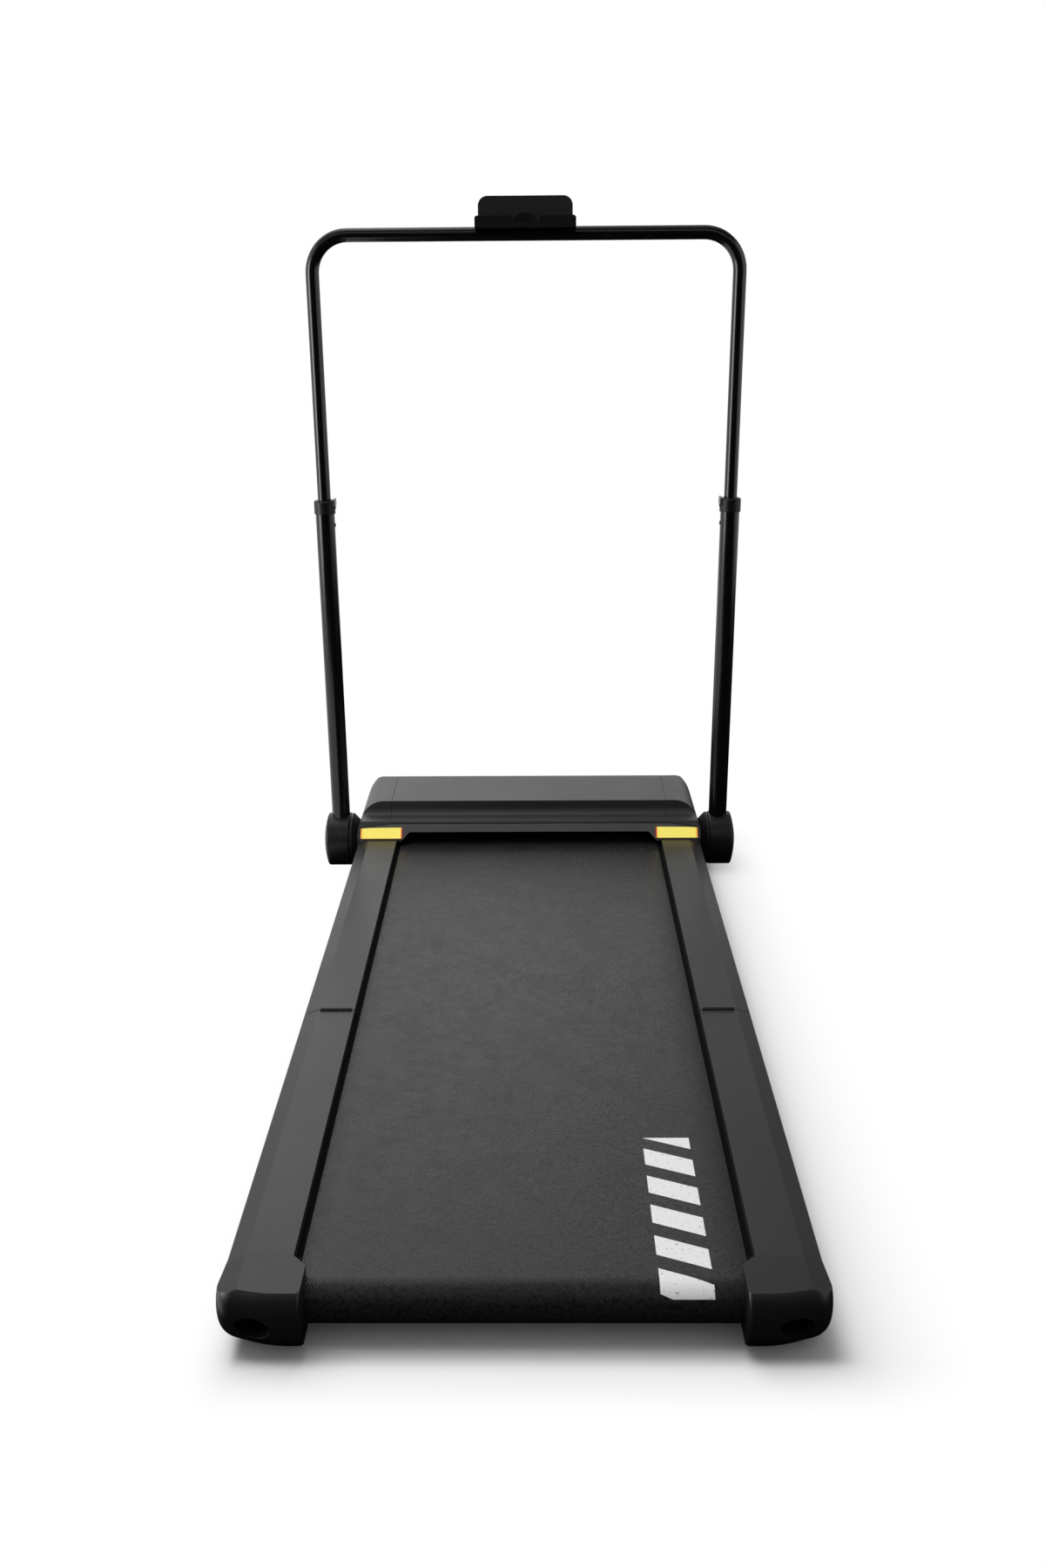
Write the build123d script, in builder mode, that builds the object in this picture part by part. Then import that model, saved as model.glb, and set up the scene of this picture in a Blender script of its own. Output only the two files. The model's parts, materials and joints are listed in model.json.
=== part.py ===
"""Slim walking treadmill: a deck that folds in half and a hand rail that folds and telescopes.

Millimetres, +Z up. X runs across the deck and +Y points at the motor hood.
The origin is on the floor, under the middle of the deck.
"""
import os

from build123d import *

os.makedirs("parts", exist_ok=True)

# Deck lengths along Y
deck_length = 1247.0
rear_half = 512.0
hood_length = 192.0
seam_gap = 1.2
rear_roller_inset = 45.0
front_roller_inset = 52.0
pivot_inset = 70.0
board_roller_gap = 6.0

# Heights above the floor
rail_top = 70.0
belt_drop = 10.0
frame_base = 14.0
hinge_rise = 0.5

# Widths across the deck
hood_side_gap = 16.0
rail_set_in = 2.0
belt_side_gap = 5.5
rail_flat = 43.5
bevel_run = 17.0
bevel_drop = 6.5
board_overlap = 8.5
side_rail_set_in = 1.0
side_rail_width = 26.0
side_rail_wall = 2.0

# Running fits and assembly clearances
running_fit = 0.05
belt_clearance = 0.3
assembly_gap = 0.3

# Belt, rollers and board
belt_thick = 1.6
roller_d = 40.0
roller_wall = 3.0
roller_overhang = 2.0
bearing_width = 10.0
front_axle_d = 12.0
rear_axle_d = 10.0
axle_bite = 16.0
board_thick = 15.0
cross_tube_high = 20.0
cross_tube_wide = 30.0
cross_tube_wall = 1.5
cross_tube_inset = 30.0

# Rail covers
cover_wall = 2.5
cover_hem = 16.0
cover_hem_flange = 8.0
cover_edge_radius = 3.0

# Fold hinge
barrel_d = 5.0
hinge_pin_d = 2.4
hinge_length = 38.0
knuckle_count = 5
knuckle_gap = 0.4
leaf_thick = 2.0
leaf_high = 32.0

# Rear end caps, measured from the deck's rear end
cap_crest = 10.5
cap_toe = 13.0
cap_length = 61.0
cap_base = 12.0
cap_bulge_height = 42.0
cap_flare = 5.0
cap_side_share = 0.35
cap_front_share = 0.1
cap_levels = 9
cap_tab = 12.5
cap_tab_thick = 8.0
cap_knee = 30.0
cap_knee_radius = 100.0
cap_crest_sweep = 9.0
cap_toe_sweep = 16.0
cap_corner = 20.0
cap_inner_corner = 4.0
adjuster_wide = 32.0
adjuster_high = 22.0
adjuster_bolt_d = 6.0
adjuster_head_d = 12.0
adjuster_head = 6.0
rail_end_plate = 4.0
rail_end_inset = 30.0

# Hood
hood_base = 16.0
hood_top = 116.5
hood_draft = 2.5
hood_corner = 38.0
hood_wall = 2.5
hood_nose = 30.0
hood_plan_corner = 45.0
crest_inset = 49.0
scoop_low = 95.0
scoop_foot = 12.0
scoop_lean = 4.0
scoop_tilt = 1.5
lip_run = 15.5
slope_rise = 1.0
guard_thick = 3.0
guard_gap = 0.8
lip_inset = 52.0
lip_fall = 6.0
mouth_top = 80.5
mouth_side_gap = 2.0
mouth_chamfer = 16.0
seam_line = 0.8
seam_line_inset = 52.0

# Motor bay
tray_thick = 2.0
tray_flange_high = 48.0
tray_front_inset = 5.5
motor_inset = 134.0
motor_height = 62.0
motor_d = 76.0
motor_pulley_gap = 23.5
motor_length = 140.0
motor_shaft_d = 8.0
motor_pulley_d = 20.0
driven_pulley_d = 40.0
pulley_wide = 15.0
pulley_rim = 1.5
pulley_gap = 1.5
drive_belt_thick = 2.0
fan_d = 62.0
fan_wide = 14.0
fan_blades = 8
cradle_thick = 5.0
board_pcb = 1.6
controller_long = 130.0
controller_deep = 75.0
controller_setback = 55.0
controller_standoff = 8.0
heatsink_high = 34.0
heatsink_fins = 9
display_long = 150.0
display_deep = 26.0

# Power panel on the front of the hood
panel_x = -115.0
panel_wide = 126.0
panel_high = 36.0
panel_z = 40.0
panel_thick = 3.0
panel_lap = 3.0
inlet_offset = -36.0
inlet_wide = 28.0
inlet_high = 21.0
inlet_depth = 24.0
inlet_wall = 2.0
switch_offset = 12.0
switch_wide = 13.0
switch_high = 20.0
switch_pin_d = 3.0
switch_tilt = 10.0
breaker_offset = 44.0
breaker_d = 9.0
breaker_sleeve_d = 14.0
breaker_sleeve = 16.0
breaker_travel = 3.0

# Transport wheels
wheel_set_in = 32.0
wheel_d = 40.0
wheel_wide = 18.0
wheel_inset = 23.0
wheel_lift = 3.0
wheel_axle_d = 8.0
wheel_cheek = 3.0
wheel_room = 2.0

# Feet
foot_d = 34.0
foot_taper = 6.0
foot_seam_inset = 45.0
foot_hood_inset = 34.0
foot_rear_inset = 100.0

# Uprights and hand rail
pivot_height = 45.0
upright_spacing = 600.0
lower_tube_d = 28.0
lower_tube_wall = 1.5
handle_tube_d = 19.0
handle_tube_wall = 1.5
handle_corner = 51.0
crossbar_height = 949.0
collar_base = 564.0
collar_high = 19.5
collar_wall = 1.6
collar_skirt = 5.0
tube_socket = 14.0
handle_overlap = 90.0
glide_long = 30.0
drum_d = 84.0
drum_wide = 32.0
drum_edge = 3.0
knuckle_cap_wide = 11.0
knuckle_cap_rim = 4.0
knuckle_cap_round = 3.0
pivot_bolt_d = 12.0
pivot_head_d = 22.0
pivot_head = 7.0
hub_d = 44.0
flange_wide = 13.0
flange_edge = 3.0
flange_small_d = 62.0
flange_large_d = 82.0

# Lock levers
lever_thick = 4.4
lever_wide = 20.0
lever_stem = 10.0
lever_shoulder = 3.5
lever_rise = 1.5
lever_pin_d = 2.4
lever_pocket = 11.6

# Phone holder
holder_wide = 139.5
holder_back_wide = 131.0
holder_back_high = 49.0
holder_back_thick = 4.0
holder_back_corner = 13.0
holder_lip_high = 23.0
holder_lip_thick = 4.0
holder_floor_low = 7.0
holder_floor_high = 13.0
holder_slot = 12.0
holder_reach = 28.0
holder_lean = 8.0
holder_notch = 18.0
holder_dish_depth = 2.0

# Places along Y
rear_end = -deck_length / 2
front_end = deck_length / 2
seam_y = rear_end + rear_half
guard_y = front_end - hood_length
crest_y = guard_y + crest_inset
rear_roller_y = rear_end + rear_roller_inset
front_roller_y = guard_y + front_roller_inset
pivot_y = guard_y + pivot_inset
motor_y = guard_y + motor_inset
cap_front_y = rear_end + cap_length
rear_rail_end = rear_end + rail_end_inset
front_rail_end = pivot_y + hub_d / 2 + side_rail_wall
wheel_y = front_end - wheel_inset

# Places across X and up Z
upright_x = upright_spacing / 2
drum_inner = upright_x - drum_wide / 2
drum_outer = upright_x + drum_wide / 2
hood_half = drum_inner - hood_side_gap
rail_outer = hood_half - rail_set_in
rail_flat_edge = rail_outer - bevel_run
rail_inner = rail_flat_edge - rail_flat
belt_width = 2 * (rail_inner - belt_side_gap)
side_rail_outer = rail_flat_edge - side_rail_set_in
side_rail_inner = side_rail_outer - side_rail_width
side_rail_x = (side_rail_inner + side_rail_outer) / 2
side_rail_top = rail_top - cover_wall
belt_top = rail_top - belt_drop
board_top = belt_top - belt_thick
board_base = board_top - board_thick
roller_z = board_top - belt_clearance - roller_d / 2
roller_half = belt_width / 2 + roller_overhang
axle_half = side_rail_inner + axle_bite
tray_base = frame_base - tray_thick
hinge_z = rail_top + hinge_rise
slope_low = rail_top + slope_rise
hinge_start = rail_inner + (rail_flat - hinge_length) / 2
leaf_back = seam_gap / 2 + leaf_thick
collar_d = lower_tube_d + 2 * collar_wall
collar_top = collar_base + collar_high
pulley_x = roller_half + pulley_gap
motor_end = pulley_x - motor_pulley_gap
motor_start = motor_end - motor_length
wheel_x = hood_half - wheel_set_in


def cross_plane(y):
    """Plane across the deck at y: local x is X, local y is Z, the normal points at the user."""
    return Plane(origin=(0, y, 0), x_dir=(1, 0, 0), z_dir=(0, -1, 0))


def rod_x(x0, x1, centre, radius, bore=0.0, mode=Mode.ADD):
    """Round bar or sleeve along X from x0 to x1; centre is its (y, z)."""
    with BuildSketch(Plane.YZ.offset(x0)) as section:
        with Locations(centre):
            Circle(radius)
            if bore:
                Circle(bore, mode=Mode.SUBTRACT)
    extrude(section.sketch, amount=x1 - x0, mode=mode)


def rod_y(y0, y1, centre, radius, mode=Mode.ADD):
    """Round bar along Y from y0 to y1; centre is its (x, z)."""
    with BuildSketch(cross_plane(y1)) as section:
        with Locations(centre):
            Circle(radius)
    extrude(section.sketch, amount=y1 - y0, mode=mode)


def rod_z(z0, z1, centre, radius, bore=0.0, taper=0.0, mode=Mode.ADD):
    """Round bar or sleeve along Z from z0 up to z1; centre is its (x, y)."""
    with BuildSketch(Plane.XY.offset(z0)) as section:
        with Locations(centre):
            Circle(radius)
            if bore:
                Circle(bore, mode=Mode.SUBTRACT)
    extrude(section.sketch, amount=z1 - z0, taper=taper, mode=mode)


def prism_x(x0, x1, outline, mode=Mode.ADD):
    """Straight-sided outline of (y, z) points carried along X from x0 to x1."""
    with BuildSketch(Plane.YZ.offset(x0)) as section:
        with BuildLine():
            Polyline(*outline, close=True)
        make_face()
    extrude(section.sketch, amount=x1 - x0, mode=mode)


def prism_y(y0, y1, outline, mode=Mode.ADD):
    """Straight-sided outline of (x, z) points carried along Y from y0 to y1."""
    with BuildSketch(cross_plane(y1)) as section:
        with BuildLine():
            Polyline(*outline, close=True)
        make_face()
    extrude(section.sketch, amount=y1 - y0, mode=mode)


def frame_corners(a0, a1, b0, b1):
    """Four corners of the rectangle from (a0, b0) to (a1, b1)."""
    return [(a0, b0), (a1, b0), (a1, b1), (a0, b1)]


# Steel side rails: box tubes that carry the board, the rollers and the hinge leaves
rail_section = frame_corners(side_rail_inner, side_rail_outer, frame_base, side_rail_top)
rail_hollow = frame_corners(
    side_rail_inner + side_rail_wall,
    side_rail_outer - side_rail_wall,
    frame_base + side_rail_wall,
    side_rail_top - side_rail_wall,
)

with BuildPart() as front_side_rail:
    prism_y(seam_y + leaf_back, front_rail_end, rail_section)
    prism_y(seam_y + leaf_back, front_rail_end, rail_hollow, mode=Mode.SUBTRACT)
    rod_x(
        side_rail_inner - 1,
        side_rail_inner + side_rail_wall + 1,
        (front_roller_y, roller_z),
        front_axle_d / 2 + running_fit,
        mode=Mode.SUBTRACT,
    )

rear_slot = rear_axle_d / 2 + running_fit
with BuildPart() as rear_side_rail:
    prism_y(rear_rail_end, seam_y - leaf_back, rail_section)
    prism_y(rear_rail_end + rail_end_plate, seam_y - leaf_back, rail_hollow, mode=Mode.SUBTRACT)
    with BuildSketch(Plane.YZ.offset(side_rail_inner - 1)):
        with Locations((rear_roller_y, roller_z)):
            SlotCenterToCenter(rear_axle_d, 2 * rear_slot)
    extrude(amount=side_rail_wall + 2, mode=Mode.SUBTRACT)
    rod_y(
        rear_rail_end - 1,
        rear_rail_end + rail_end_plate + 1,
        (side_rail_x, roller_z),
        adjuster_bolt_d / 2 + running_fit,
        mode=Mode.SUBTRACT,
    )

# Cross tubes, between the side rails and between the belt's two runs
cross_low = board_base - cross_tube_high


def cross_tubes(places):
    """Box tubes across the frame, one centred at each y in places."""
    for y in places:
        half = cross_tube_wide / 2
        core = half - cross_tube_wall
        prism_x(-side_rail_inner, side_rail_inner, frame_corners(y - half, y + half, cross_low, board_base))
        prism_x(
            -side_rail_inner,
            side_rail_inner,
            frame_corners(y - core, y + core, cross_low + cross_tube_wall, board_base - cross_tube_wall),
            mode=Mode.SUBTRACT,
        )


front_board_end = front_roller_y - roller_d / 2 - board_roller_gap
rear_board_end = rear_roller_y + roller_d / 2 + board_roller_gap
front_cross_first = seam_y + cross_tube_inset
front_cross_last = front_board_end - cross_tube_inset
rear_cross_first = rear_board_end + cross_tube_inset
rear_cross_last = seam_y - cross_tube_inset

with BuildPart() as front_cross_tubes:
    cross_tubes([front_cross_first, (front_cross_first + front_cross_last) / 2, front_cross_last])
front_cross_tubes.part.label = "front_cross_tubes"
export_step(front_cross_tubes.part, "parts/front_cross_tubes.step")

with BuildPart() as rear_cross_tubes:
    cross_tubes([rear_cross_first, (rear_cross_first + rear_cross_last) / 2, rear_cross_last])
rear_cross_tubes.part.label = "rear_cross_tubes"
export_step(rear_cross_tubes.part, "parts/rear_cross_tubes.step")

# Deck boards, which the belt slides over
board_half = rail_inner + board_overlap
board_section = frame_corners(-board_half, board_half, board_base, board_top)
board_round = board_thick / 3

with BuildPart() as front_deck_board:
    prism_y(seam_y + seam_gap / 2, front_board_end, board_section)
    fillet(front_deck_board.edges().filter_by(Axis.X).group_by(Axis.Y)[-1].sort_by(Axis.Z)[-1:], board_round)
front_deck_board.part.label = "front_deck_board"
export_step(front_deck_board.part, "parts/front_deck_board.step")

with BuildPart() as rear_deck_board:
    prism_y(rear_board_end, seam_y - seam_gap / 2, board_section)
    fillet(rear_deck_board.edges().filter_by(Axis.X).group_by(Axis.Y)[0].sort_by(Axis.Z)[-1:], board_round)
rear_deck_board.part.label = "rear_deck_board"
export_step(rear_deck_board.part, "parts/rear_deck_board.step")


def rail_outline(inset):
    """Points of the rail cover's outside, or of its inside when inset is the wall."""
    slope_shift = inset * bevel_drop / bevel_run / 2
    return [
        (rail_inner + inset, board_top),
        (rail_inner + inset, rail_top - inset),
        (rail_flat_edge - slope_shift, rail_top - inset),
        (rail_outer - inset, rail_top - bevel_drop - inset),
        (rail_outer - inset, cover_hem + inset),
    ]


def rail_cover(y0, y1):
    """Rail cover: an open moulded section, notched round the hinge barrel at the fold line."""
    inside = rail_outline(cover_wall)
    hem_x = rail_outer - cover_hem_flange
    prism_y(y0, y1, rail_outline(0) + [(hem_x, cover_hem), (hem_x, board_top)])
    prism_y(y0, y1, inside + [(hem_x, cover_hem + cover_wall), (hem_x, board_top)], mode=Mode.SUBTRACT)
    notch = barrel_d / 2 + assembly_gap
    rod_x(
        hinge_start - assembly_gap,
        hinge_start + hinge_length + assembly_gap,
        (seam_y, hinge_z),
        notch,
        mode=Mode.SUBTRACT,
    )
    prism_x(
        hinge_start - assembly_gap,
        hinge_start + hinge_length + assembly_gap,
        frame_corners(seam_y - notch, seam_y + notch, side_rail_top - 1, hinge_z),
        mode=Mode.SUBTRACT,
    )


def soften_rail(cover):
    """Round the cover's outer shoulder."""
    shoulder = cover.edges().filter_by(Axis.Y).filter_by(
        lambda e: abs(e.center().X - rail_outer) < 0.01 and e.center().Z > cover_hem + 1
    )
    fillet(shoulder, min(cover_edge_radius, 0.9 * bevel_run))


with BuildPart() as front_rail_cover:
    rail_cover(seam_y + seam_gap / 2, guard_y)
    soften_rail(front_rail_cover)

with BuildPart() as rear_rail_cover:
    rail_cover(cap_front_y, seam_y - seam_gap / 2)
    soften_rail(rear_rail_cover)

# Fold hinges: two leaves on the rails' ends, their knuckles on the fold axis at the rail's top
knuckle_pitch = hinge_length / knuckle_count
web_low = hinge_z - barrel_d / 2 - 2 * assembly_gap


def hinge_leaf(direction, first, bore):
    """Right-hand leaf; direction is +1 for the front half, first is its first knuckle."""
    y0, y1 = sorted((seam_y + direction * seam_gap / 2, seam_y + direction * leaf_back))
    prism_x(
        hinge_start,
        hinge_start + hinge_length,
        frame_corners(y0, y1, board_top + assembly_gap, web_low),
    )
    prism_x(
        side_rail_inner,
        hinge_start + hinge_length,
        frame_corners(y0, y1, side_rail_top - leaf_high, board_top + 2 * assembly_gap),
    )
    for index in range(first, knuckle_count, 2):
        x0 = hinge_start + index * knuckle_pitch + knuckle_gap / 2
        x1 = x0 + knuckle_pitch - knuckle_gap
        prism_x(x0, x1, frame_corners(y0, y1, web_low - 1, hinge_z))
        rod_x(x0, x1, (seam_y, hinge_z), barrel_d / 2)
    rod_x(hinge_start, hinge_start + hinge_length, (seam_y, hinge_z), bore, mode=Mode.SUBTRACT)


with BuildPart() as front_hinge_leaves:
    hinge_leaf(1, 0, hinge_pin_d / 2)
    mirror(about=Plane.YZ)
front_hinge_leaves.part.label = "front_hinge_leaves"
export_step(front_hinge_leaves.part, "parts/front_hinge_leaves.step")

with BuildPart() as rear_hinge_leaves:
    hinge_leaf(-1, 1, hinge_pin_d / 2 + running_fit)
    mirror(about=Plane.YZ)
rear_hinge_leaves.part.label = "rear_hinge_leaves"
export_step(rear_hinge_leaves.part, "parts/rear_hinge_leaves.step")

with BuildPart() as hinge_pins:
    rod_x(hinge_start, hinge_start + hinge_length, (seam_y, hinge_z), hinge_pin_d / 2)
    mirror(about=Plane.YZ)
hinge_pins.part.label = "hinge_pins"
export_step(hinge_pins.part, "parts/hinge_pins.step")

# Running belt: one loop over both rollers and both boards
belt_span = front_roller_y - rear_roller_y
belt_inner = roller_d / 2 + belt_clearance
with BuildPart() as running_belt:
    with BuildSketch(Plane.YZ.offset(-belt_width / 2)):
        with Locations(((front_roller_y + rear_roller_y) / 2, roller_z)):
            SlotCenterToCenter(belt_span, 2 * (belt_inner + belt_thick))
            SlotCenterToCenter(belt_span, 2 * belt_inner, mode=Mode.SUBTRACT)
    extrude(amount=belt_width)
running_belt.part.label = "running_belt"
export_step(running_belt.part, "parts/running_belt.step")

# Rollers turn on bearings on fixed axles
bearing_outer = roller_d / 2 - roller_wall


def roller_tube(y):
    """Roller tube along X at y, bored for its bearings."""
    rod_x(-roller_half, roller_half, (y, roller_z), roller_d / 2, bearing_outer)


def roller_bearings(y, axle_d):
    """Pair of bearings pressed into the roller tube's ends."""
    rod_x(
        roller_half - bearing_width,
        roller_half,
        (y, roller_z),
        bearing_outer,
        axle_d / 2 + running_fit,
    )
    mirror(about=Plane.YZ)


with BuildPart() as front_roller_tube:
    roller_tube(front_roller_y)
front_roller_tube.part.label = "front_roller_tube"
export_step(front_roller_tube.part, "parts/front_roller_tube.step")

with BuildPart() as front_roller_bearings:
    roller_bearings(front_roller_y, front_axle_d)
front_roller_bearings.part.label = "front_roller_bearings"
export_step(front_roller_bearings.part, "parts/front_roller_bearings.step")

with BuildPart() as front_roller_axle:
    rod_x(-axle_half, axle_half, (front_roller_y, roller_z), front_axle_d / 2)
front_roller_axle.part.label = "front_roller_axle"
export_step(front_roller_axle.part, "parts/front_roller_axle.step")

with BuildPart() as rear_roller_tube:
    roller_tube(rear_roller_y)
rear_roller_tube.part.label = "rear_roller_tube"
export_step(rear_roller_tube.part, "parts/rear_roller_tube.step")

with BuildPart() as rear_roller_bearings:
    roller_bearings(rear_roller_y, rear_axle_d)
rear_roller_bearings.part.label = "rear_roller_bearings"
export_step(rear_roller_bearings.part, "parts/rear_roller_bearings.step")

with BuildPart() as rear_roller_axle:
    rod_x(-axle_half, axle_half, (rear_roller_y, roller_z), rear_axle_d / 2)
    for sign in (-1, 1):
        rod_y(
            rear_roller_y - rear_axle_d,
            rear_roller_y + rear_axle_d,
            (sign * side_rail_x, roller_z),
            adjuster_bolt_d / 2 + running_fit,
            mode=Mode.SUBTRACT,
        )
rear_roller_axle.part.label = "rear_roller_axle"
export_step(rear_roller_axle.part, "parts/rear_roller_axle.step")

# Belt adjusters: socket bolts through the rail's end plate and the axle
with BuildPart() as adjuster_bolts:
    rod_y(rear_rail_end, rear_roller_y + rear_axle_d, (side_rail_x, roller_z), adjuster_bolt_d / 2)
    rod_y(rear_rail_end - adjuster_head, rear_rail_end, (side_rail_x, roller_z), adjuster_head_d / 2)
    with BuildSketch(cross_plane(rear_rail_end - adjuster_head)):
        with Locations((side_rail_x, roller_z)):
            RegularPolygon(adjuster_bolt_d / 2, 6)
    extrude(amount=-adjuster_head / 2, mode=Mode.SUBTRACT)
    mirror(about=Plane.YZ)
adjuster_bolts.part.label = "adjuster_bolts"
export_step(adjuster_bolts.part, "parts/adjuster_bolts.step")

# Rear end cap: a moulding that closes the rail's end, with a bulged face and an adjuster hole
cap_inner = rail_inner - cap_tab
cap_outer = rail_outer + cap_flare
bevel_fall = bevel_drop / bevel_run * (cap_outer - rail_flat_edge)
with BuildLine(Plane.YZ) as cap_side:
    Spline(
        (rear_end + cap_crest, rail_top),
        (rear_end, cap_bulge_height),
        (rear_end + cap_toe, cap_base),
        tangents=[(-1.0, -0.9), (0.0, -1.0), (1.0, -0.9)],
    )

with BuildPart() as rear_end_cap:
    for level in range(cap_levels):
        point = cap_side.line @ (level / (cap_levels - 1))
        inset = point.Y - rear_end
        fall = (rail_top - point.Z) / (rail_top - cap_base)
        set_back = cap_crest_sweep + (cap_toe_sweep - cap_crest_sweep) * fall
        with BuildSketch(Plane.XY.offset(point.Z)):
            with BuildLine():
                front_left = (rail_inner + 1, cap_front_y + 1)
                front_right = (rail_outer - cap_front_share * inset, cap_front_y + 1)
                FilletPolyline(
                    front_right,
                    (cap_outer - cap_side_share * inset, point.Y + set_back),
                    (cap_inner + cap_knee, point.Y),
                    (cap_inner, point.Y),
                    (cap_inner, cap_front_y - cap_tab),
                    front_left,
                    radius=[cap_corner, cap_knee_radius, cap_inner_corner, cap_inner_corner / 2],
                )
                Line(front_left, front_right)
            make_face()
    loft()
    prism_y(
        rear_end - cap_flare,
        cap_front_y,
        [
            (cap_inner - 1, cap_base),
            (cap_outer, cap_base),
            (cap_outer, rail_top - bevel_fall),
            (rail_flat_edge, rail_top),
            (cap_inner - 1, rail_top),
        ],
        mode=Mode.INTERSECT,
    )
    prism_y(
        rear_rail_end - adjuster_head - assembly_gap,
        cap_front_y,
        frame_corners(
            side_rail_inner,
            side_rail_outer,
            cap_base,
            side_rail_top,
        ),
        mode=Mode.SUBTRACT,
    )
    belt_room = belt_inner + belt_thick + assembly_gap
    rod_x(cap_inner, roller_half + assembly_gap, (rear_roller_y, roller_z), belt_room, mode=Mode.SUBTRACT)
    prism_x(
        cap_inner,
        roller_half + assembly_gap,
        frame_corners(rear_roller_y, cap_front_y, cap_base, rail_top - cap_tab_thick),
        mode=Mode.SUBTRACT,
    )
    prism_x(
        roller_half,
        side_rail_inner,
        frame_corners(
            rear_roller_y - rear_axle_d / 2 - running_fit,
            cap_front_y,
            cap_base,
            board_top + assembly_gap,
        ),
        mode=Mode.SUBTRACT,
    )
    with BuildSketch(cross_plane(rear_end - 1)):
        with Locations((side_rail_x, roller_z)):
            Ellipse(adjuster_wide / 2, adjuster_high / 2)
    extrude(amount=-(rail_end_inset - adjuster_head + 1), mode=Mode.SUBTRACT)


def front_slope(z):
    """Y of the sloping front that the belt guard and the hood's lip share, at height z."""
    return guard_y + lip_run * (z - slope_low) / (scoop_low - slope_low)


def hood_form(inset):
    """Solid of the hood's outside, or of its hollow when inset is the wall."""
    sink = 1.25 * inset
    base = hood_base - inset
    half = hood_half - inset
    with BuildPart() as form:
        with BuildSketch(cross_plane(front_end - inset)):
            with BuildLine():
                shoulder = half - hood_draft
                FilletPolyline(
                    (-half, base),
                    (-shoulder, hood_top - sink),
                    (shoulder, hood_top - sink),
                    (half, base),
                    radius=hood_corner - inset,
                )
                Line((half, base), (-half, base))
            make_face()
        extrude(amount=hood_length - inset)
        with BuildSketch(Plane.YZ.offset(-hood_half)):
            with BuildLine():
                low = Vector(front_slope(scoop_low - sink), scoop_low - sink)
                crest = Vector(crest_y + inset, hood_top - sink)
                foot = Vector(crest.X - scoop_lean, low.Y + scoop_tilt)
                nose = hood_nose - inset
                Polyline((guard_y, base), (guard_y, slope_low), low)
                FilletPolyline(low, foot, crest, radius=scoop_foot)
                Line(crest, (front_end - hood_nose, hood_top - sink))
                JernArc((front_end - hood_nose, hood_top - sink), (1, 0), nose, -90)
                Line((front_end - inset, hood_top - sink - nose), (front_end - inset, base))
                Line((front_end - inset, base), (guard_y, base))
            make_face()
        extrude(amount=2 * hood_half, mode=Mode.INTERSECT)
        with BuildSketch(Plane.XY.offset(base)):
            with BuildLine():
                FilletPolyline(
                    (-half, guard_y),
                    (-half, front_end - inset),
                    (half, front_end - inset),
                    (half, guard_y),
                    radius=hood_plan_corner - inset,
                )
                Line((half, guard_y), (-half, guard_y))
            make_face()
        extrude(amount=hood_top, mode=Mode.INTERSECT)
    return form.part


# Hood: a thin moulded shell, open below and at the belt mouth
hub_hole = hub_d / 2 + assembly_gap
panel_low = panel_z - panel_high / 2
panel_high_z = panel_z + panel_high / 2
wheel_half = wheel_wide / 2 + wheel_room
guard_top = scoop_low - 1.25 * hood_wall - guard_gap
guard_back = front_slope(guard_top) + guard_thick
lip_x = hood_half - lip_inset
lip_line = guard_top + guard_gap
seam_line_x = hood_half - seam_line_inset
with BuildPart() as hood_hollow:
    add(hood_form(hood_wall))
    for sign in (-1, 1):
        prism_y(
            guard_y,
            guard_back,
            [
                (sign * lip_x, lip_line),
                (sign * hood_half, lip_line - lip_fall),
                (sign * hood_half, hood_top),
                (sign * lip_x, hood_top),
            ],
            mode=Mode.SUBTRACT,
        )

# Parting lines that follow the hood's skin over the scoop, the top and the nose
with BuildPart() as seam_grooves:
    for sign in (-1, 1):
        prism_y(
            guard_y,
            front_end,
            frame_corners(
                sign * seam_line_x - seam_line / 2,
                sign * seam_line_x + seam_line / 2,
                hood_base,
                hood_top,
            ),
        )
    add(hood_form(seam_line), mode=Mode.SUBTRACT)

with BuildPart() as hood_cover:
    add(hood_form(0))
    add(hood_hollow.part, mode=Mode.SUBTRACT)
    add(seam_grooves.part, mode=Mode.SUBTRACT)
    for sign in (-1, 1):
        prism_y(
            front_end - hood_plan_corner,
            front_end + 1,
            frame_corners(
                sign * wheel_x - wheel_half,
                sign * wheel_x + wheel_half,
                hood_base - 1,
                wheel_lift + wheel_d + wheel_room,
            ),
            mode=Mode.SUBTRACT,
        )
    rod_x(-hood_half, hood_half, (pivot_y, pivot_height), hub_hole, mode=Mode.SUBTRACT)
    prism_y(
        front_end - 2 * hood_wall,
        front_end + 1,
        frame_corners(
            panel_x - panel_wide / 2 + panel_lap,
            panel_x + panel_wide / 2 - panel_lap,
            panel_low + panel_lap,
            panel_high_z - panel_lap,
        ),
        mode=Mode.SUBTRACT,
    )
hood_cover.part.label = "hood_cover"
export_step(hood_cover.part, "parts/hood_cover.step")

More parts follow.
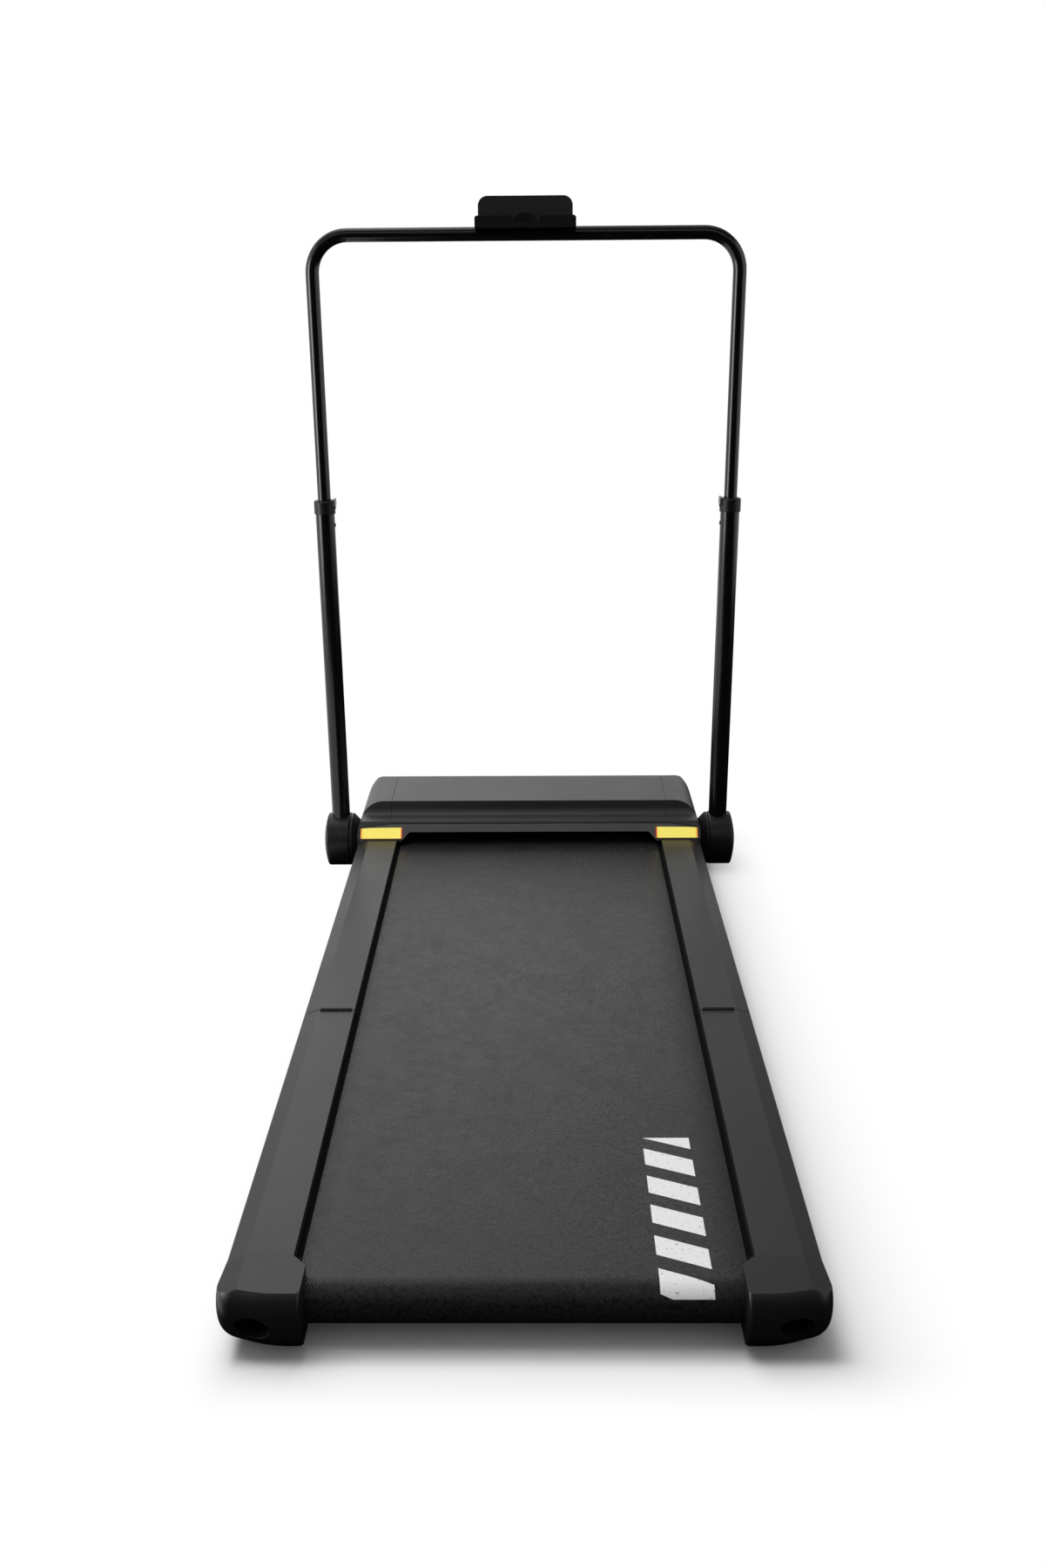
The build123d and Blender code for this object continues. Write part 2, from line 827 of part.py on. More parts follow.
# Belt guard: the sloping strip under the hood's lip, with the belt mouth cut out of it
guard_inset = hood_wall + assembly_gap
guard_end = hood_half - guard_inset - hood_draft
guard_fall = lip_fall * (guard_end - lip_x) / lip_inset
mouth_half = belt_width / 2 + mouth_side_gap
with BuildPart() as belt_guard:
    prism_x(
        -hood_half,
        hood_half,
        [
            (guard_y, hood_base),
            (guard_y, slope_low),
            (front_slope(guard_top), guard_top),
            (guard_back, guard_top),
            (guard_y + guard_thick, slope_low),
            (guard_y + guard_thick, hood_base),
        ],
    )
    prism_y(
        guard_y,
        guard_back,
        [
            (-(hood_half - guard_inset), hood_base),
            (hood_half - guard_inset, hood_base),
            (guard_end, guard_top - guard_fall),
            (lip_x, guard_top),
            (-lip_x, guard_top),
            (-guard_end, guard_top - guard_fall),
        ],
        mode=Mode.INTERSECT,
    )
    prism_y(
        guard_y - 1,
        guard_back + 1,
        [
            (-mouth_half, hood_base - 1),
            (mouth_half, hood_base - 1),
            (mouth_half, mouth_top - mouth_chamfer),
            (mouth_half - mouth_chamfer, mouth_top),
            (-(mouth_half - mouth_chamfer), mouth_top),
            (-mouth_half, mouth_top - mouth_chamfer),
        ],
        mode=Mode.SUBTRACT,
    )
    for sign in (-1, 1):
        slot = sorted((sign * (mouth_half - 1), sign * (side_rail_outer + assembly_gap)))
        prism_y(
            guard_y - 1,
            guard_y + guard_thick + 1,
            frame_corners(slot[0], slot[1], hood_base - 1, side_rail_top + assembly_gap),
            mode=Mode.SUBTRACT,
        )
belt_guard.part.label = "belt_guard"
export_step(belt_guard.part, "parts/belt_guard.step")

# Motor tray: the hood's sheet floor, with motor cradles, wheel cheeks and a front flange
tray_half = hood_half - guard_inset
tray_front = front_end - tray_front_inset
tray_back = guard_y + guard_thick + assembly_gap
wheel_z = wheel_lift + wheel_d / 2
cradle_x = (motor_start + cradle_thick, motor_end - 2 * cradle_thick)
with BuildPart() as motor_tray:
    with BuildSketch(Plane.XY.offset(tray_base)):
        with BuildLine():
            FilletPolyline(
                (-tray_half, tray_back),
                (-tray_half, tray_front),
                (tray_half, tray_front),
                (tray_half, tray_back),
                radius=hood_plan_corner - guard_inset,
            )
            Line((tray_half, tray_back), (-tray_half, tray_back))
        make_face()
    extrude(amount=tray_thick)
    flange_half = wheel_x - wheel_half - wheel_cheek
    prism_y(
        tray_front - tray_thick,
        tray_front,
        frame_corners(-flange_half, flange_half, tray_base, tray_base + tray_flange_high),
    )
    prism_y(
        tray_front - 3 * tray_thick,
        tray_front + 1,
        frame_corners(
            panel_x - panel_wide / 2 + 3 * panel_lap,
            panel_x + panel_wide / 2 - 3 * panel_lap,
            panel_low + panel_lap,
            tray_base + tray_flange_high + 1,
        ),
        mode=Mode.SUBTRACT,
    )
    for x0 in cradle_x:
        prism_x(
            x0,
            x0 + cradle_thick,
            frame_corners(
                motor_y - motor_d / 2,
                motor_y + motor_d / 2,
                frame_base,
                motor_height - motor_d / 4,
            ),
        )
    rod_x(motor_start, motor_end, (motor_y, motor_height), motor_d / 2, mode=Mode.SUBTRACT)
    for sign in (-1, 1):
        prism_y(
            wheel_y - wheel_d / 2 - wheel_room,
            front_end,
            frame_corners(
                sign * wheel_x - wheel_half,
                sign * wheel_x + wheel_half,
                tray_base - 1,
                frame_base + 1,
            ),
            mode=Mode.SUBTRACT,
        )
        for x0 in (sign * wheel_x - wheel_half - wheel_cheek, sign * wheel_x + wheel_half):
            prism_x(
                x0,
                x0 + wheel_cheek,
                [
                    (wheel_y - wheel_d / 2, tray_base),
                    (wheel_y + wheel_axle_d, tray_base),
                    (wheel_y + wheel_axle_d, wheel_z + wheel_axle_d),
                    (wheel_y - wheel_axle_d, wheel_z + wheel_axle_d),
                ],
            )
        axle_x = sorted((sign * (wheel_x - 2 * wheel_half), sign * (wheel_x + 2 * wheel_half)))
        rod_x(axle_x[0], axle_x[1], (wheel_y, wheel_z), wheel_axle_d / 2, mode=Mode.SUBTRACT)
motor_tray.part.label = "motor_tray"
export_step(motor_tray.part, "parts/motor_tray.step")

# Transport wheels on shoulder bolts
bolt_reach = wheel_half + wheel_cheek
with BuildPart() as wheel_axles:
    rod_x(wheel_x - bolt_reach, wheel_x + bolt_reach, (wheel_y, wheel_z), wheel_axle_d / 2)
    rod_x(
        wheel_x - bolt_reach - wheel_cheek,
        wheel_x - bolt_reach,
        (wheel_y, wheel_z),
        wheel_axle_d * 0.8,
    )
    mirror(about=Plane.YZ)
wheel_axles.part.label = "wheel_axles"
export_step(wheel_axles.part, "parts/wheel_axles.step")

with BuildPart() as transport_wheel:
    with BuildSketch(Plane.YZ.offset(wheel_x)):
        with Locations((wheel_y, wheel_z)):
            Circle(wheel_d / 2)
            Circle(wheel_axle_d / 2 + running_fit, mode=Mode.SUBTRACT)
    extrude(amount=wheel_wide / 2, both=True)
    fillet(transport_wheel.edges().filter_by(GeomType.CIRCLE).sort_by(SortBy.RADIUS)[-2:], wheel_wide / 6)
    for x0 in (wheel_x - wheel_wide / 2, wheel_x + wheel_wide / 3):
        rod_x(
            x0,
            x0 + wheel_wide / 6,
            (wheel_y, wheel_z),
            wheel_d / 2 - wheel_wide / 4,
            wheel_axle_d,
            mode=Mode.SUBTRACT,
        )

# Motor, with its shaft, cooling fan and pulley
motor_axis = (motor_y, motor_height)
bell = motor_d / 8
with BuildPart() as motor_body:
    rod_x(motor_start, motor_end, motor_axis, motor_d / 2)
    chamfer(motor_body.edges().filter_by(GeomType.CIRCLE), bell / 2)
    rod_x(motor_end, motor_end + bell, motor_axis, motor_d / 4)
    rod_x(
        motor_start - 1,
        motor_end + bell + 1,
        motor_axis,
        motor_shaft_d / 2 + running_fit,
        mode=Mode.SUBTRACT,
    )
motor_body.part.label = "motor_body"
export_step(motor_body.part, "parts/motor_body.step")

fan_x = motor_start - bell - fan_wide
with BuildPart() as motor_shaft:
    rod_x(fan_x, pulley_x + pulley_wide, motor_axis, motor_shaft_d / 2)
motor_shaft.part.label = "motor_shaft"
export_step(motor_shaft.part, "parts/motor_shaft.step")

with BuildPart() as motor_fan:
    rod_x(fan_x + fan_wide - pulley_rim, fan_x + fan_wide, motor_axis, fan_d / 2, motor_shaft_d / 2)
    rod_x(fan_x, fan_x + fan_wide, motor_axis, motor_shaft_d, motor_shaft_d / 2)
    with BuildSketch(Plane.YZ.offset(fan_x)):
        with Locations(motor_axis):
            with PolarLocations((fan_d / 2 + motor_shaft_d) / 2 - pulley_rim / 2, fan_blades):
                Rectangle(fan_d / 2 - motor_shaft_d, pulley_rim)
    extrude(amount=fan_wide)
motor_fan.part.label = "motor_fan"
export_step(motor_fan.part, "parts/motor_fan.step")


def pulley(centre, radius, bore):
    """Flanged flat pulley beside the rollers' ends."""
    rod_x(pulley_x, pulley_x + pulley_wide, centre, radius, bore)
    for x0 in (pulley_x, pulley_x + pulley_wide - pulley_rim):
        rod_x(x0, x0 + pulley_rim, centre, radius + pulley_rim, bore)


with BuildPart() as motor_pulley:
    pulley(motor_axis, motor_pulley_d / 2, motor_shaft_d / 2)
motor_pulley.part.label = "motor_pulley"
export_step(motor_pulley.part, "parts/motor_pulley.step")

roller_axis = (front_roller_y, roller_z)
with BuildPart() as driven_pulley:
    pulley(roller_axis, driven_pulley_d / 2, front_axle_d / 2 + assembly_gap)
    rod_x(roller_half, pulley_x, roller_axis, bearing_outer, front_axle_d / 2 + assembly_gap)
driven_pulley.part.label = "driven_pulley"
export_step(driven_pulley.part, "parts/driven_pulley.step")

# Drive belt, a flat loop round both pulleys
drive_x = pulley_x + pulley_rim + assembly_gap
with BuildPart() as drive_belt:
    for extra, mode in ((drive_belt_thick, Mode.ADD), (0, Mode.SUBTRACT)):
        with BuildSketch(Plane.YZ.offset(drive_x)) as loop:
            with Locations(motor_axis):
                Circle(motor_pulley_d / 2 + belt_clearance + extra)
            with Locations(roller_axis):
                Circle(driven_pulley_d / 2 + belt_clearance + extra)
            make_hull(loop.edges())
        extrude(amount=pulley_wide - 2 * pulley_rim - 2 * assembly_gap, mode=mode)
drive_belt.part.label = "drive_belt"
export_step(drive_belt.part, "parts/drive_belt.step")

# Controller board with its finned heat sink, and the display board under the scoop
controller_x = -controller_long - fan_wide
controller_y = motor_y - controller_setback
fin_pitch = controller_long / heatsink_fins
with BuildPart() as controller_board:
    pcb_z = frame_base + controller_standoff
    prism_y(
        controller_y,
        controller_y + controller_deep,
        frame_corners(controller_x, controller_x + controller_long, pcb_z, pcb_z + board_pcb),
    )
    for x in (controller_x + controller_standoff, controller_x + controller_long - controller_standoff):
        for y in (controller_y + controller_standoff, controller_y + controller_deep - controller_standoff):
            rod_z(frame_base, pcb_z, (x, y), controller_standoff / 2)
    sink_z = pcb_z + board_pcb
    sink_y = controller_y + controller_deep / 2
    prism_y(
        sink_y,
        controller_y + controller_deep,
        frame_corners(controller_x, controller_x + controller_long, sink_z, sink_z + controller_standoff),
    )
    for fin in range(heatsink_fins):
        x0 = controller_x + fin * fin_pitch
        prism_y(
            sink_y,
            controller_y + controller_deep,
            frame_corners(x0, x0 + fin_pitch / 3, sink_z, sink_z + heatsink_high),
        )
controller_board.part.label = "controller_board"
export_step(controller_board.part, "parts/controller_board.step")

with BuildPart() as display_board:
    prism_x(
        -display_long / 2,
        display_long / 2,
        frame_corners(
            guard_back + assembly_gap,
            guard_back + assembly_gap + display_deep,
            guard_top - assembly_gap - board_pcb,
            guard_top - assembly_gap,
        ),
    )
display_board.part.label = "display_board"
export_step(display_board.part, "parts/display_board.step")

# Power panel behind a window in the hood's front wall
panel_front = front_end - hood_wall
panel_back = panel_front - panel_thick
inlet_x = panel_x + inlet_offset
switch_x = panel_x + switch_offset
breaker_x = panel_x + breaker_offset
with BuildPart() as power_panel:
    prism_y(
        panel_back,
        panel_front,
        frame_corners(panel_x - panel_wide / 2, panel_x + panel_wide / 2, panel_low, panel_high_z),
    )
    prism_y(
        panel_back - 1,
        panel_front + 1,
        frame_corners(
            inlet_x - inlet_wide / 2,
            inlet_x + inlet_wide / 2,
            panel_z - inlet_high / 2,
            panel_z + inlet_high / 2,
        ),
        mode=Mode.SUBTRACT,
    )
    prism_y(
        panel_back - switch_high / 2,
        panel_back,
        frame_corners(
            switch_x - switch_wide / 2 - inlet_wall,
            switch_x + switch_wide / 2 + inlet_wall,
            panel_z - switch_high / 2 - inlet_wall,
            panel_z + switch_high / 2 + inlet_wall,
        ),
    )
    prism_y(
        panel_back - switch_high / 2 + inlet_wall,
        panel_front + 1,
        frame_corners(
            switch_x - switch_wide / 2,
            switch_x + switch_wide / 2,
            panel_z - switch_high / 2,
            panel_z + switch_high / 2,
        ),
        mode=Mode.SUBTRACT,
    )
    rod_x(
        switch_x - switch_wide / 2 - inlet_wall / 2,
        switch_x + switch_wide / 2 + inlet_wall / 2,
        (panel_back - switch_pin_d, panel_z),
        switch_pin_d / 2 + running_fit,
        mode=Mode.SUBTRACT,
    )
    rod_y(panel_back - breaker_sleeve, panel_back, (breaker_x, panel_z), breaker_sleeve_d / 2)
    rod_y(
        panel_back - breaker_sleeve + inlet_wall,
        panel_front + 1,
        (breaker_x, panel_z),
        breaker_d / 2 + running_fit,
        mode=Mode.SUBTRACT,
    )
power_panel.part.label = "power_panel"
export_step(power_panel.part, "parts/power_panel.step")

# Mains inlet: a socket shell with three flat pins, pushed through the panel
inlet_back = panel_front - inlet_depth
pin_pitch = inlet_wide / 4
with BuildPart() as power_inlet:
    with BuildSketch(cross_plane(panel_front)):
        with Locations((inlet_x, panel_z)):
            Rectangle(inlet_wide, inlet_high)
    extrude(amount=inlet_depth)
    with BuildSketch(cross_plane(panel_front)):
        with Locations((inlet_x, panel_z)):
            RectangleRounded(inlet_wide - 2 * inlet_wall, inlet_high - 2 * inlet_wall, inlet_wall)
    extrude(amount=inlet_depth - inlet_wall, mode=Mode.SUBTRACT)
    for pin in (-1, 0, 1):
        prism_y(
            inlet_back + inlet_wall,
            panel_front - inlet_wall,
            frame_corners(
                inlet_x + pin * pin_pitch - inlet_wall / 2,
                inlet_x + pin * pin_pitch + inlet_wall / 2,
                panel_z - 2 * inlet_wall + (1 - abs(pin)) * inlet_wall,
                panel_z + (1 - abs(pin)) * inlet_wall,
            ),
        )
power_inlet.part.label = "power_inlet"
export_step(power_inlet.part, "parts/power_inlet.step")

# Rocker of the power switch, on two stub pins and tipped to its off side
rocker_y = panel_back - switch_pin_d
rocker_half = switch_high / 2 - 4 * assembly_gap
rocker_face = panel_thick + switch_pin_d - 2 * assembly_gap
tip_dir = Vector(0, 1, 0).rotate(Axis.X, switch_tilt)
with BuildPart() as switch_rocker:
    rocker_start = (switch_x - switch_wide / 2 + assembly_gap, rocker_y, panel_z)
    with BuildSketch(Plane(origin=rocker_start, x_dir=tip_dir, z_dir=(1, 0, 0))):
        with BuildLine():
            low_tip = (rocker_face, -rocker_half)
            high_tip = (rocker_face, rocker_half)
            ThreePointArc(low_tip, (rocker_face - switch_pin_d / 2, 0), high_tip)
            Polyline(high_tip, (0, switch_pin_d), (-switch_pin_d, 0), (0, -switch_pin_d), low_tip)
        make_face()
    extrude(amount=switch_wide - 2 * assembly_gap)
    rod_x(
        switch_x - switch_wide / 2 - inlet_wall / 2 + assembly_gap,
        switch_x + switch_wide / 2 + inlet_wall / 2 - assembly_gap,
        (rocker_y, panel_z),
        switch_pin_d / 2,
    )
switch_rocker.part.label = "switch_rocker"
export_step(switch_rocker.part, "parts/switch_rocker.step")

# Breaker button in its sleeve, with room behind it for its travel
button_back = panel_back - breaker_sleeve + inlet_wall + breaker_travel + assembly_gap
with BuildPart() as breaker_button:
    rod_y(button_back, panel_front + hood_wall - assembly_gap, (breaker_x, panel_z), breaker_d / 2)
    fillet(breaker_button.edges().filter_by(GeomType.CIRCLE).sort_by(Axis.Y)[-1:], breaker_d / 8)
breaker_button.part.label = "breaker_button"
export_step(breaker_button.part, "parts/breaker_button.step")

# Rubber feet
with BuildPart() as front_feet:
    rod_z(0, frame_base, (side_rail_x, seam_y + foot_seam_inset), foot_d / 2, taper=-foot_taper)
    rod_z(0, tray_base, (side_rail_x, guard_y + foot_hood_inset), foot_d / 2, taper=-foot_taper)
    mirror(about=Plane.YZ)
front_feet.part.label = "front_feet"
export_step(front_feet.part, "parts/front_feet.step")

with BuildPart() as rear_feet:
    rod_z(0, frame_base, (side_rail_x, seam_y - foot_seam_inset), foot_d / 2, taper=-foot_taper)
    rod_z(0, frame_base, (side_rail_x, rear_end + foot_rear_inset), foot_d / 2, taper=-foot_taper)
    mirror(about=Plane.YZ)
rear_feet.part.label = "rear_feet"
export_step(rear_feet.part, "parts/rear_feet.step")

# Pivot bracket: a hub through the hood's side that flares into a flange behind the knuckle
pivot_axis = (pivot_y, pivot_height)
flange_outer = drum_inner - assembly_gap
with BuildPart() as pivot_bracket:
    rod_x(side_rail_outer, flange_outer, pivot_axis, hub_d / 2)
    with BuildSketch(Plane.YZ.offset(flange_outer - flange_wide)):
        with Locations(pivot_axis):
            Circle(flange_small_d / 2)
    with BuildSketch(Plane.YZ.offset(flange_outer - flange_edge)):
        with Locations(pivot_axis):
            Circle(flange_large_d / 2)
    loft()
    rod_x(flange_outer - flange_edge, flange_outer, pivot_axis, flange_large_d / 2)
    rod_x(side_rail_outer, drum_inner, pivot_axis, pivot_bolt_d / 2, mode=Mode.SUBTRACT)

# Pivot bolts, fixed in the brackets, which the knuckles turn on
head_start = drum_outer - pivot_head
with BuildPart() as pivot_bolts:
    rod_x(side_rail_outer, drum_outer, pivot_axis, pivot_bolt_d / 2)
    rod_x(head_start + assembly_gap, drum_outer, pivot_axis, pivot_head_d / 2)
    mirror(about=Plane.YZ)
pivot_bolts.part.label = "pivot_bolts"
export_step(pivot_bolts.part, "parts/pivot_bolts.step")

# Knuckle: a drum that turns on the pivot bolt and takes the lower tube in its top
socket_base = pivot_height + tube_socket
with BuildPart() as knuckle_drum:
    rod_x(drum_inner, drum_outer, pivot_axis, drum_d / 2)
    fillet(knuckle_drum.edges().filter_by(GeomType.CIRCLE).sort_by(Axis.X)[:1], drum_edge)
    rod_x(head_start, drum_outer, pivot_axis, pivot_head_d / 2 + running_fit, mode=Mode.SUBTRACT)
    rod_x(drum_inner, drum_outer, pivot_axis, pivot_bolt_d / 2 + running_fit, mode=Mode.SUBTRACT)
    rod_z(
        socket_base,
        pivot_height + drum_d,
        (upright_x, pivot_y),
        lower_tube_d / 2,
        mode=Mode.SUBTRACT,
    )

# Domed caps on the knuckles' outer faces: a disc trimmed by a large ball
dome_rise = knuckle_cap_wide - knuckle_cap_rim
dome_radius = ((drum_d / 2) ** 2 + dome_rise**2) / (2 * dome_rise)
with BuildPart() as knuckle_caps:
    rod_x(drum_outer, drum_outer + knuckle_cap_wide, pivot_axis, drum_d / 2)
    with Locations((drum_outer + knuckle_cap_wide - dome_radius, pivot_y, pivot_height)):
        Sphere(dome_radius, mode=Mode.INTERSECT)
    fillet(knuckle_caps.edges().filter_by(GeomType.CIRCLE).sort_by(Axis.X)[-1:], knuckle_cap_round)
    mirror(about=Plane.YZ)
knuckle_caps.part.label = "knuckle_caps"
export_step(knuckle_caps.part, "parts/knuckle_caps.step")

# Lower tube
tube_top = collar_base + collar_skirt
with BuildPart() as lower_tube:
    rod_z(
        socket_base,
        tube_top,
        (upright_x, pivot_y),
        lower_tube_d / 2,
        lower_tube_d / 2 - lower_tube_wall,
    )

# Lock collar: a skirt over the lower tube, a bore for the upper tube and a pocket for its lever
lever_x = upright_x - lever_pocket - assembly_gap - lever_thick / 2
lever_low = tube_top + 2 * assembly_gap
lever_pin_z = lever_low + lever_thick / 2 + assembly_gap
lever_step = lever_pin_z + lever_shoulder
lever_high = collar_top + lever_rise
with BuildPart() as lock_collar:
    rod_z(collar_base, collar_top, (upright_x, pivot_y), collar_d / 2)
    chamfer(lock_collar.edges().filter_by(GeomType.CIRCLE).sort_by(Axis.Z)[-1:], collar_wall)
    rod_z(collar_base, tube_top, (upright_x, pivot_y), lower_tube_d / 2, mode=Mode.SUBTRACT)
    rod_z(
        tube_top,
        collar_top,
        (upright_x, pivot_y),
        handle_tube_d / 2 + running_fit,
        mode=Mode.SUBTRACT,
    )
    for half, z0 in ((lever_stem / 2 + assembly_gap, lever_low), (collar_d, lever_step - assembly_gap)):
        prism_y(
            pivot_y - half,
            pivot_y + half,
            frame_corners(upright_x - collar_d, upright_x - lever_pocket, z0, collar_top + 1),
            mode=Mode.SUBTRACT,
        )
    rod_y(
        pivot_y - lever_stem / 2 - 4 * assembly_gap,
        pivot_y + lever_stem / 2 + 4 * assembly_gap,
        (lever_x, lever_pin_z),
        lever_pin_d / 2 + running_fit,
        mode=Mode.SUBTRACT,
    )

# Lock lever: a paddle that flips inwards about two stub pins at its stem's foot
with BuildPart() as lock_lever:
    rod_y(pivot_y - lever_stem / 2, pivot_y + lever_stem / 2, (lever_x, lever_pin_z), lever_thick / 2)
    for half, z0 in ((lever_stem / 2, lever_pin_z), (lever_wide / 2, lever_step)):
        prism_y(
            pivot_y - half,
            pivot_y + half,
            frame_corners(lever_x - lever_thick / 2, lever_x + lever_thick / 2, z0, lever_high),
        )
    fillet(lock_lever.edges().filter_by(Axis.Y).sort_by(Axis.Z)[-2:], lever_thick / 4)
    rod_y(
        pivot_y - lever_stem / 2 - 3 * assembly_gap,
        pivot_y + lever_stem / 2 + 3 * assembly_gap,
        (lever_x, lever_pin_z),
        lever_pin_d / 2,
    )

# U-shaped upper tube
handle_foot = collar_base - handle_overlap
with BuildPart() as handle_tube:
    with BuildLine(Plane(origin=(0, pivot_y, 0), x_dir=(1, 0, 0), z_dir=(0, -1, 0))):
        FilletPolyline(
            (-upright_x, handle_foot),
            (-upright_x, crossbar_height),
            (upright_x, crossbar_height),
            (upright_x, handle_foot),
            radius=handle_corner,
        )
    with BuildSketch(Plane.XY.offset(handle_foot)):
        with Locations((-upright_x, pivot_y)):
            Circle(handle_tube_d / 2)
            Circle(handle_tube_d / 2 - handle_tube_wall, mode=Mode.SUBTRACT)
    sweep()
handle_tube.part.label = "handle_tube"
export_step(handle_tube.part, "parts/handle_tube.step")

# Glide bushes that centre the upper tube in the lower tubes
with BuildPart() as glide_bushes:
    rod_z(
        handle_foot,
        handle_foot + glide_long,
        (upright_x, pivot_y),
        lower_tube_d / 2 - lower_tube_wall - running_fit,
        handle_tube_d / 2,
    )
    mirror(about=Plane.YZ)
glide_bushes.part.label = "glide_bushes"
export_step(glide_bushes.part, "parts/glide_bushes.step")

# Phone holder: a saddle on the crossbar, a front lip with a thumb notch and a leaning back plate
lip_y = pivot_y - holder_reach
slot_y = lip_y + holder_lip_thick
back_y = slot_y + holder_slot
floor_low = crossbar_height + holder_floor_low
floor_high = crossbar_height + holder_floor_high
lip_top = crossbar_height + holder_lip_high
back_top = crossbar_height + holder_back_high
notch_z = lip_top - holder_notch / 4
dish_radius = (holder_notch**2 + holder_dish_depth**2) / (2 * holder_dish_depth)
plate_front = back_y + holder_lean * (notch_z - floor_low) / (back_top - floor_low)
dish_y = plate_front + holder_dish_depth - dish_radius
with BuildPart() as phone_holder:
    prism_x(
        -holder_back_wide / 2,
        holder_back_wide / 2,
        [
            (back_y, floor_low),
            (back_y + holder_back_thick, floor_low),
            (back_y + holder_lean + holder_back_thick, back_top),
            (back_y + holder_lean, back_top),
        ],
    )
    fillet(phone_holder.edges().filter_by(Axis.Y).group_by(Axis.Z)[-1], holder_back_corner)
    with Locations((0, dish_y, notch_z)):
        Sphere(dish_radius, mode=Mode.SUBTRACT)
    prism_x(
        -holder_wide / 2,
        holder_wide / 2,
        [
            (lip_y, floor_low),
            (pivot_y + handle_tube_d / 2, floor_low),
            (pivot_y + handle_tube_d / 2, floor_high),
            (slot_y, floor_high),
            (slot_y, lip_top),
            (lip_y, lip_top),
        ],
    )
    lip_corners = phone_holder.edges().filter_by(Axis.Y).filter_by_position(Axis.Z, lip_top, lip_top)
    fillet(lip_corners, holder_lip_thick)
    rod_x(-holder_wide, holder_wide, (pivot_y, crossbar_height), handle_tube_d / 2, mode=Mode.SUBTRACT)
    with BuildSketch(cross_plane(slot_y)):
        with Locations((0, notch_z)):
            Circle(holder_notch)
        with Locations((0, floor_high - holder_notch)):
            Rectangle(2 * holder_notch, 2 * holder_notch, mode=Mode.SUBTRACT)
    extrude(amount=holder_lip_thick, mode=Mode.SUBTRACT)
phone_holder.part.label = "phone_holder"
export_step(phone_holder.part, "parts/phone_holder.step")

# Right-hand pieces and their mirror images
handed = {
    "front_side_rail": front_side_rail,
    "rear_side_rail": rear_side_rail,
    "front_rail_cover": front_rail_cover,
    "rear_rail_cover": rear_rail_cover,
    "rear_end_cap": rear_end_cap,
    "pivot_bracket": pivot_bracket,
    "knuckle_drum": knuckle_drum,
    "lower_tube": lower_tube,
    "lock_collar": lock_collar,
    "lock_lever": lock_lever,
    "transport_wheel": transport_wheel,
}
for name, right in handed.items():
    right.part.label = f"{name}_right"
    export_step(right.part, f"parts/{name}_right.step")
    with BuildPart() as left:
        mirror(right.part, about=Plane.YZ)
    left.part.label = f"{name}_left"
    export_step(left.part, f"parts/{name}_left.step")
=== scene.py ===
"""Looks for the folding walking treadmill: finishes for its solids, the running belt and small fittings."""
import json
from math import pi, radians

import bpy
import numpy as np
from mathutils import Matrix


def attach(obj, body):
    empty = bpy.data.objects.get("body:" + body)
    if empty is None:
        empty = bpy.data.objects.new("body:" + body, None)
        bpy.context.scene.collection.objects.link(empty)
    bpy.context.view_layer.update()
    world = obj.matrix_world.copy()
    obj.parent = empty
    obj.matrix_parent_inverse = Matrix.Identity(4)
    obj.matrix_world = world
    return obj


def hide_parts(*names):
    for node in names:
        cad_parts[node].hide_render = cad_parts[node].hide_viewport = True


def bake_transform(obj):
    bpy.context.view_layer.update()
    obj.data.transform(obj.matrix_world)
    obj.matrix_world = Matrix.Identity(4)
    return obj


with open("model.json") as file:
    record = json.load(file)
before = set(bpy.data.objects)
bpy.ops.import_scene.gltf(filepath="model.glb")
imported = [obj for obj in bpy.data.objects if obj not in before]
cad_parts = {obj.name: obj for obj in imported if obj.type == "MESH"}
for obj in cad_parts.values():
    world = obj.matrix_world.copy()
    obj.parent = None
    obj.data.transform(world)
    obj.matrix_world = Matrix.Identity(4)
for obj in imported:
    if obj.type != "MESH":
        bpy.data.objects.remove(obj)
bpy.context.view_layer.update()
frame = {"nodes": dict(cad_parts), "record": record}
nodes = frame["nodes"]

# Places and sizes in the deck's frame, in metres
SEAM_Y = -0.1115
GUARD_FOOT = np.array((0.4315, 0.071))
GUARD_RISE = np.array((0.0155, 0.024))
REAR_ROLLER = (-0.5785, 0.0381)
FRONT_ROLLER = (0.4835, 0.0381)
BELT_HALF = 0.2
BELT_MID = 0.0211
BELT_THICK = 0.0016
BELT_EDGE = 0.0006
BELT_START = 0.2
FOLD_REACH = 0.08
BOARD_TOP = 0.0584
BOARD_BASE = 0.0434
BOARD_FILM_AND_SHADE = (0.0006, 0.0002)
TUBE_X = 0.3
TUBE_Y = 0.5015
TUBE_RADIUS = 0.014
BUTTON_Z = 0.547
TRAY_BASE = 0.012
TRAY_SCREWS = ((-0.18, 0.53), (-0.06, 0.6), (0.06, 0.6), (0.18, 0.53))
BUTTON_HEAD = {"radius": 0.003, "rise": 0.0012, "cross": 0.0, "root": 0.0006}
SCREW_HEAD = {"radius": 0.0045, "rise": 0.0018, "cross": 0.6, "root": 0.0006}

# Points in the meshes: along a run of the belt, across its fold, round a roller, round a corner, across
# a face, along a side of a strip, and round a head and from its middle to its rim
RUN_POINTS = 36
FOLD_POINTS = 107
TURN_POINTS = 33
CORNER_POINTS = 4
FACE_POINTS = 12
SIDE_POINTS = 24
HEAD_POINTS = (40, 14)

# Belt pattern: spacing of its strokes across the belt, how far they lean along it, and its splice
STROKE_PITCH = 0.0029
STROKE_LEAN = 0.7
SPLICE_Y = 0.38
SPLICE_LEAN = 0.482

